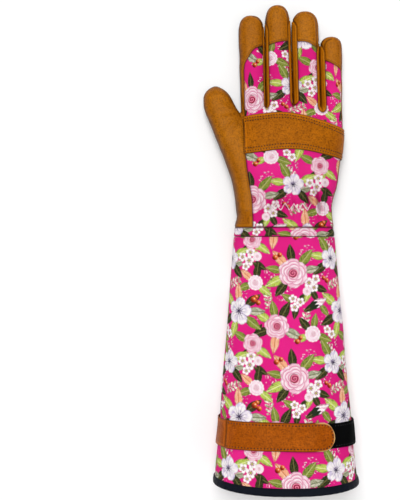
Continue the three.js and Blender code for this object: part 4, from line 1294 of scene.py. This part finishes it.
    # sprig: pairs of small cream leaves on a stem
    cell = g.sub(g.fract(g.mul(g.sub(x, g.mul(side, 0.6)), 2.2)), 0.5)
    lx = g.m("DIVIDE", cell, 0.36)
    ly = g.m("DIVIDE", g.sub(side, 0.24), 0.20)
    e = g.sub(1.0, g.add(g.mul(lx, lx), g.mul(ly, ly)))
    e = g.max(g.mul(e, 0.3), g.sub(0.03, side))
    e = g.min(e, g.sub(0.95, g.abs(x)))
    sprig = g.mix(g.mad(n, 4.0, -1.5, clamp=True), (0.24, 0.24, 0.07), (1.0, 0.93, 0.82))
    draw(SPRIG, g.edge(e, 14), sprig)
    # berry, with a glint
    e = g.sub(0.95, r)
    berry = g.mix(g.mad(g.add(x, y), 0.7, 0.45, clamp=True), (0.20, 0.008, 0.004), (0.86, 0.17, 0.03))
    glint = g.sub(0.26, g.add(g.abs(g.sub(x, 0.3)), g.abs(g.sub(y, 0.3))))
    berry = g.mix(g.edge(glint, 9), berry, (1.0, 0.75, 0.45))
    draw(BERRY, g.edge(e, 9), berry)
    # bud: a pointed pale bud in a nearly black cup
    e = g.sub(taper(0.6, -0.2, 0.42), side)
    swirl = g.fract(g.mad(y, 3.0, g.mad(wob, 1.6, g.mul(x, 1.1))))
    bud = g.mix(g.mad(swirl, 2.2, -0.1, clamp=True), (0.70, 0.20, 0.36), (1.0, 0.90, 0.92))
    cup = g.sub(g.mad(g.abs(g.sin(g.mul(y, 9.0))), 0.35, -0.42), x)
    bud = g.mix(g.edge(cup, 14), bud, (0.016, 0.032, 0.014))
    draw(BUD, g.edge(e, 18), ink(e, bud, (0.02, 0.012, 0.02), 0.8, 0.08))
    out = g.node("NodeGroupOutput")
    g.put(out.inputs[0], painted[1])
    g.put(out.inputs[1], painted[0])
    return tree


def cloth_material():
    mat, g, shader, where = material("printed_canvas_print")
    group = motif_group()
    cloth = g.attribute("cloth", "Vector")
    shade = g.noise(where, 22.0, 2.0)
    paint = g.mix(g.mad(shade, 1.8, -0.4, clamp=True), (0.66, 0.005, 0.175), (0.88, 0.022, 0.275))
    for k in range(LAYERS, 0, -1):
        place = g.node("ShaderNodeAttribute", attribute_name="motif_%d" % k)
        vor = g.node("ShaderNodeTexVoronoi")
        g.put(vor.inputs["Vector"], place.outputs["Vector"])
        settle(vor, Scale=3.3)
        swell, fine = g.noise(place.outputs["Vector"], 3.1, 2.0), g.noise(place.outputs["Vector"], 9.0, 2.0)
        n = g.node("ShaderNodeGroup")
        n.node_tree = group
        # as a color, so that Cycles works the layers out one after another: its room for values is small
        for socket, value in zip(n.inputs, (place.outputs["Color"], swell, fine, vor.outputs["Distance"])):
            g.put(socket, value)
        paint = g.mix(n.outputs[1], paint, n.outputs[0])
    # canvas: threads both ways, and the twill's diagonal line
    u, v = g.split(cloth)[:2]
    warp = g.sin(g.mul(u, 2 * math.pi / 0.62))
    weft = g.sin(g.mul(v, 2 * math.pi / 0.62))
    twill = g.sin(g.mul(g.add(u, g.mul(v, 0.9)), 2 * math.pi / 2.1))
    height = g.add(g.mul(g.add(warp, weft), 0.35), g.mul(twill, 0.5))
    paint = g.mix(g.mad(twill, 0.10, 0.10), paint, (0.12, 0.02, 0.06), "MULTIPLY")
    faded = g.noise(cloth, 1.4, 2.0)
    paint = g.mix(g.mad(faded, 0.16, -0.03, clamp=True), paint, (1.0, 0.72, 0.86), "SOFT_LIGHT")
    # dark seam lines with painted shade beside them, and painted shade in the gathers' valleys
    rim = g.attribute("edge", "Fac")
    near = g.fall(g.mul(g.mul(rim, rim), -1.1))
    paint = g.mix(g.mul(near, 0.85), paint, (0.05, 0.0, 0.012))
    wide = g.fall(g.mul(rim, -0.35))
    paint = g.mix(g.mul(wide, 0.25), paint, (0.25, 0.0, 0.06), "MULTIPLY")
    lining = g.mix(g.mad(twill, 0.2, 0.3), (0.74, 0.56, 0.60), (0.60, 0.36, 0.43))
    g.put(shader.inputs["Base Color"], g.mix(g.attribute("lining", "Fac"), paint, lining))
    settle(shader, Roughness=0.78, Specular_IOR_Level=0.10)
    soft = g.bump(g.noise(where, 160.0, 3.0), 0.25, 0.0012)
    g.put(shader.inputs["Normal"], g.bump(height, 0.35, 0.00025, soft))
    return mat


def leather_material(name, dark, light, seam_highlight_strength=0.5, rounded=False):
    """Brushed leather, with dark seam lines, painted shade in its seams and a painted highlight beside them. rounded
    also gives it painted light by its slope: a painted highlight where it faces up and painted shade down its sides.
    """
    mat, g, shader, where = material(name)
    big, mid = g.noise(where, 26.0, 3.0), g.noise(where, 210.0, 3.0, 0.6)
    nap = g.noise(where, 640.0, 4.0, 0.7)
    tone = g.mix(g.mad(big, 1.6, -0.3, clamp=True), dark, light)
    tone = g.mix(g.mad(mid, 1.3, -0.42, clamp=True), tone, tuple(c * 0.6 for c in dark))
    tone = g.mix(g.mad(nap, 4.4, -2.0, clamp=True), tone, tuple(c * 0.42 for c in dark))
    # dark seam lines, with painted shade in the seams' grooves, along the edges and in the strips' folds
    d = g.attribute("edge", "Fac")
    near = g.fall(g.mul(d, -1.1))
    tone = g.mix(g.mul(near, 0.82), tone, (0.075, 0.022, 0.004))
    # painted highlight along the roll beside each seam, patchy with the noise
    painted_seam_highlight = g.fall(g.mul(g.pow(g.sub(d, 2.1), 2.0), -1.2))
    tone = g.mix(g.mul(painted_seam_highlight, g.mul(mid, seam_highlight_strength)), tone, tuple(min(1, c * 1.35) for c in light))
    if rounded:
        # painted highlight where the glove faces up, and painted shade down its sides
        up = g.attribute("facing", "Fac")
        painted_crown_highlight = g.mul(g.mad(up, 7.0, -6.1, clamp=True),
                    g.mad(mid, 1.2, -0.1, clamp=True))
        tone = g.mix(g.mul(painted_crown_highlight, 0.34), tone, (0.62, 0.25, 0.055))
        tone = g.mix(g.mul(g.mad(up, -2.1, 1.45, clamp=True), 0.8), tone, (0.06, 0.018, 0.002))
    vor = g.node("ShaderNodeTexVoronoi", feature="DISTANCE_TO_EDGE")
    g.put(vor.inputs["Vector"], where)
    settle(vor, Scale=720.0)
    grain = g.mad(vor.outputs[0], 3.0, 0.0, clamp=True)
    pale = g.attribute("cut", "Fac")
    g.put(shader.inputs["Base Color"], g.mix(pale, tone, (0.72, 0.45, 0.18)))
    g.put(shader.inputs["Roughness"], g.mad(mid, 0.22, 0.42))
    settle(shader, Specular_IOR_Level=0.24, Specular_Tint=(1.0, 0.52, 0.16, 1))
    fine = g.bump(grain, 0.3, 0.00018, g.bump(mid, 0.22, 0.0008))
    g.put(shader.inputs["Normal"], g.bump(nap, 0.32, 0.0003, fine))
    return mat


def fabric_material(name, dark, light, size, rough, sheen, tint, rib=None, spec=0.25):
    """A plain napped or ribbed fabric."""
    mat, g, shader, where = material(name)
    nap, big = g.noise(where, size, 3.0, 0.7), g.noise(where, 60.0, 2.0)
    tone = g.mix(g.mad(nap, 1.8, -0.4, clamp=True), dark, light)
    tone = g.mix(g.mad(big, 1.2, -0.5, clamp=True), tone, dark)
    height = nap
    if rib:
        x, y, z = g.split(where)
        a = g.sin(g.mul(g.add(x, z), 2 * math.pi / rib))
        b = g.sin(g.mul(g.sub(y, g.mul(x, 0.4)), 2 * math.pi / rib))
        height = g.mad(g.mul(a, b), 0.5, nap)
        tone = g.mix(g.mad(a, 0.12, 0.12), tone, light)
    g.put(shader.inputs["Base Color"], tone)
    settle(shader, Roughness=rough, Specular_IOR_Level=spec, Sheen_Weight=sheen, Sheen_Roughness=0.4,
           Sheen_Tint=(*tint, 1))
    g.put(shader.inputs["Normal"], g.bump(height, 0.5, 0.0004))
    return mat


LEATHER_DARK, LEATHER_LIGHT = (0.345, 0.099, 0.0012), (0.53, 0.176, 0.0036)
leather = leather_material("leather_brown", LEATHER_DARK, LEATHER_LIGHT, rounded=True)
strip_mat = leather_material("leather_strips", LEATHER_DARK, LEATHER_LIGHT, seam_highlight_strength=0.9)
suede = leather_material("leather_brushed", (0.36, 0.095, 0.001), (0.55, 0.165, 0.003), seam_highlight_strength=0.8)
strap_mat = leather_material("leather_strap", (0.34, 0.066, 0.001), (0.50, 0.106, 0.002), seam_highlight_strength=0.6)
canvas = cloth_material()
touch_mat = fabric_material("touch_black", (0.006, 0.006, 0.007), (0.022, 0.022, 0.025), 1400, 0.7, 0.05,
                            (0.5, 0.5, 0.55))
loop_mat = fabric_material("loop_black", (0.0004, 0.0004, 0.0005), (0.0022, 0.0022, 0.0026), 1900, 0.95, 0.0,
                           (0.4, 0.4, 0.42), spec=0.05)
bind_mat = fabric_material("binding_navy", (0.0006, 0.0013, 0.004), (0.0022, 0.0048, 0.014), 900, 0.6, 0.0,
                           (0.3, 0.4, 0.7), rib=0.0011, spec=0.12)
thread_brown, thread_tan, thread_grey, thread_pale = [
    fabric_material("thread_" + name, dark, light, 2500, 0.6, 0.1, tint) for name, dark, light, tint in (
        ("brown", (0.008, 0.002, 0.0004), (0.022, 0.007, 0.001), (1, 0.8, 0.6)),
        ("tan", (0.04, 0.011, 0.0015), (0.09, 0.027, 0.003), (1, 0.8, 0.6)),
        ("grey", (0.02, 0.02, 0.021), (0.07, 0.07, 0.072), (1, 1, 1)),
        ("pale", (0.80, 0.55, 0.66), (0.95, 0.80, 0.86), (1, 1, 1)))]

finish = {                             # each piece's material, slot and the CAD nodes that it replaces
    "palm_leather": (leather, "glove_leather", ["palm_leather"] + [
        finger + "_front_leather" for finger in ("thumb", "index", "middle", "ring", "little")]),
    "thumb_leather": (leather, "glove_leather", ["thumb_leather"]),
    "back_cloth": (canvas, "printed_canvas", ["back_cloth", "finger_cloth"]),
    "wrist_yoke": (canvas, "printed_canvas", ["wrist_yoke"]),
    "cuff": (canvas, "printed_canvas", ["cuff"]),
    "knuckle_band": (suede, "glove_leather", ["knuckle_band"]),
    "palm_patch": (leather, "glove_leather", ["palm_patch"]),
    "strap": (strap_mat, "glove_leather", ["strap"]),
    "loop_patch": (loop_mat, "loop_tape", ["loop_patch"]),
    "hem_binding": (bind_mat, "binding_tape", ["hem_binding"]),
    "stitches_band": (thread_brown, "glove_leather", []),
    "stitches_seams": (thread_tan, "glove_leather", []),
    "stitches_patch": (thread_brown, "glove_leather", []),
    "stitches_strap": (thread_brown, "glove_leather", []),
    "stitches_loop": (thread_grey, "loop_tape", []),
    "elastic_thread": (thread_pale, "printed_canvas", []),
}
for name in STRIPS:
    finish[name] = (strip_mat, "glove_leather", [name])
for name in ("touch_tip_thumb", "touch_tip_index", "touch_tip_middle"):
    finish[name] = (touch_mat, "touch_fabric", [name])
for name, ob in pieces.items():
    mat, slot, nodes = finish[name]
    ob.name = name + "_look"
    ob.data.materials.append(mat)
    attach(ob, "root")
    if nodes:
        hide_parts(*nodes)
bpy.data.meshes.remove(hand)

# ---------------------------------------------------------------- floor, light and camera
bpy.ops.mesh.primitive_plane_add(size=40, location=(0, 0, -0.0002))
floor = bpy.context.object
floor.name = "floor"
mat, g, shader, where = material("floor_pale")
settle(shader, Base_Color=(0.97, 0.97, 0.97, 1), Roughness=0.9, Specular_IOR_Level=0.1)
floor.data.materials.append(mat)

world = bpy.data.worlds.new("studio")
scene.world = world
world.use_nodes = True
background = world.node_tree.nodes["Background"]
background.inputs[0].default_value = (1.0, 0.995, 0.99, 1)
sky = Nodes(world.node_tree)
up = sky.split(sky.node("ShaderNodeTexCoord").outputs["Generated"])[2]
sky.put(background.inputs[1], sky.max(sky.mad(up, -5.0, 0.95), 0.26))     # pale near the horizon


def sun(name, way, strength, spread):
    """A sun that shines from the way, with a spread in degrees that makes its shadows soft."""
    data = bpy.data.lights.new(name, "SUN")
    data.energy, data.angle = strength, math.radians(spread)
    ob = bpy.data.objects.new(name, data)
    scene.collection.objects.link(ob)
    ob.rotation_euler = (-Vector(way)).to_track_quat("-Z", "Y").to_euler()


sun("top", (-0.1, 0.1, 1.0), 1.1, 25)
sun("key", (-0.14, 0.5, 1.0), 1.42, 28)
sun("fill", (0.45, -0.5, 1.0), 0.3, 60)

HEIGHT, FOCAL = 0.960, 957.0           # the camera's height in metres, and its focal length in pixels of 500
cam = bpy.data.cameras.new("camera")
cam.sensor_fit, cam.sensor_width = "AUTO", 36.0
cam.lens = FOCAL / 500 * 36
camera = bpy.data.objects.new("camera", cam)
scene.collection.objects.link(camera)
camera.location = ((PHOTO_MIDDLE[0] + SHIFT[0]) / 1000, (PHOTO_MIDDLE[1] + SHIFT[1]) / 1000, HEIGHT)
scene.camera = camera
scene.view_settings.view_transform = "Standard"
scene.view_settings.look = "None"
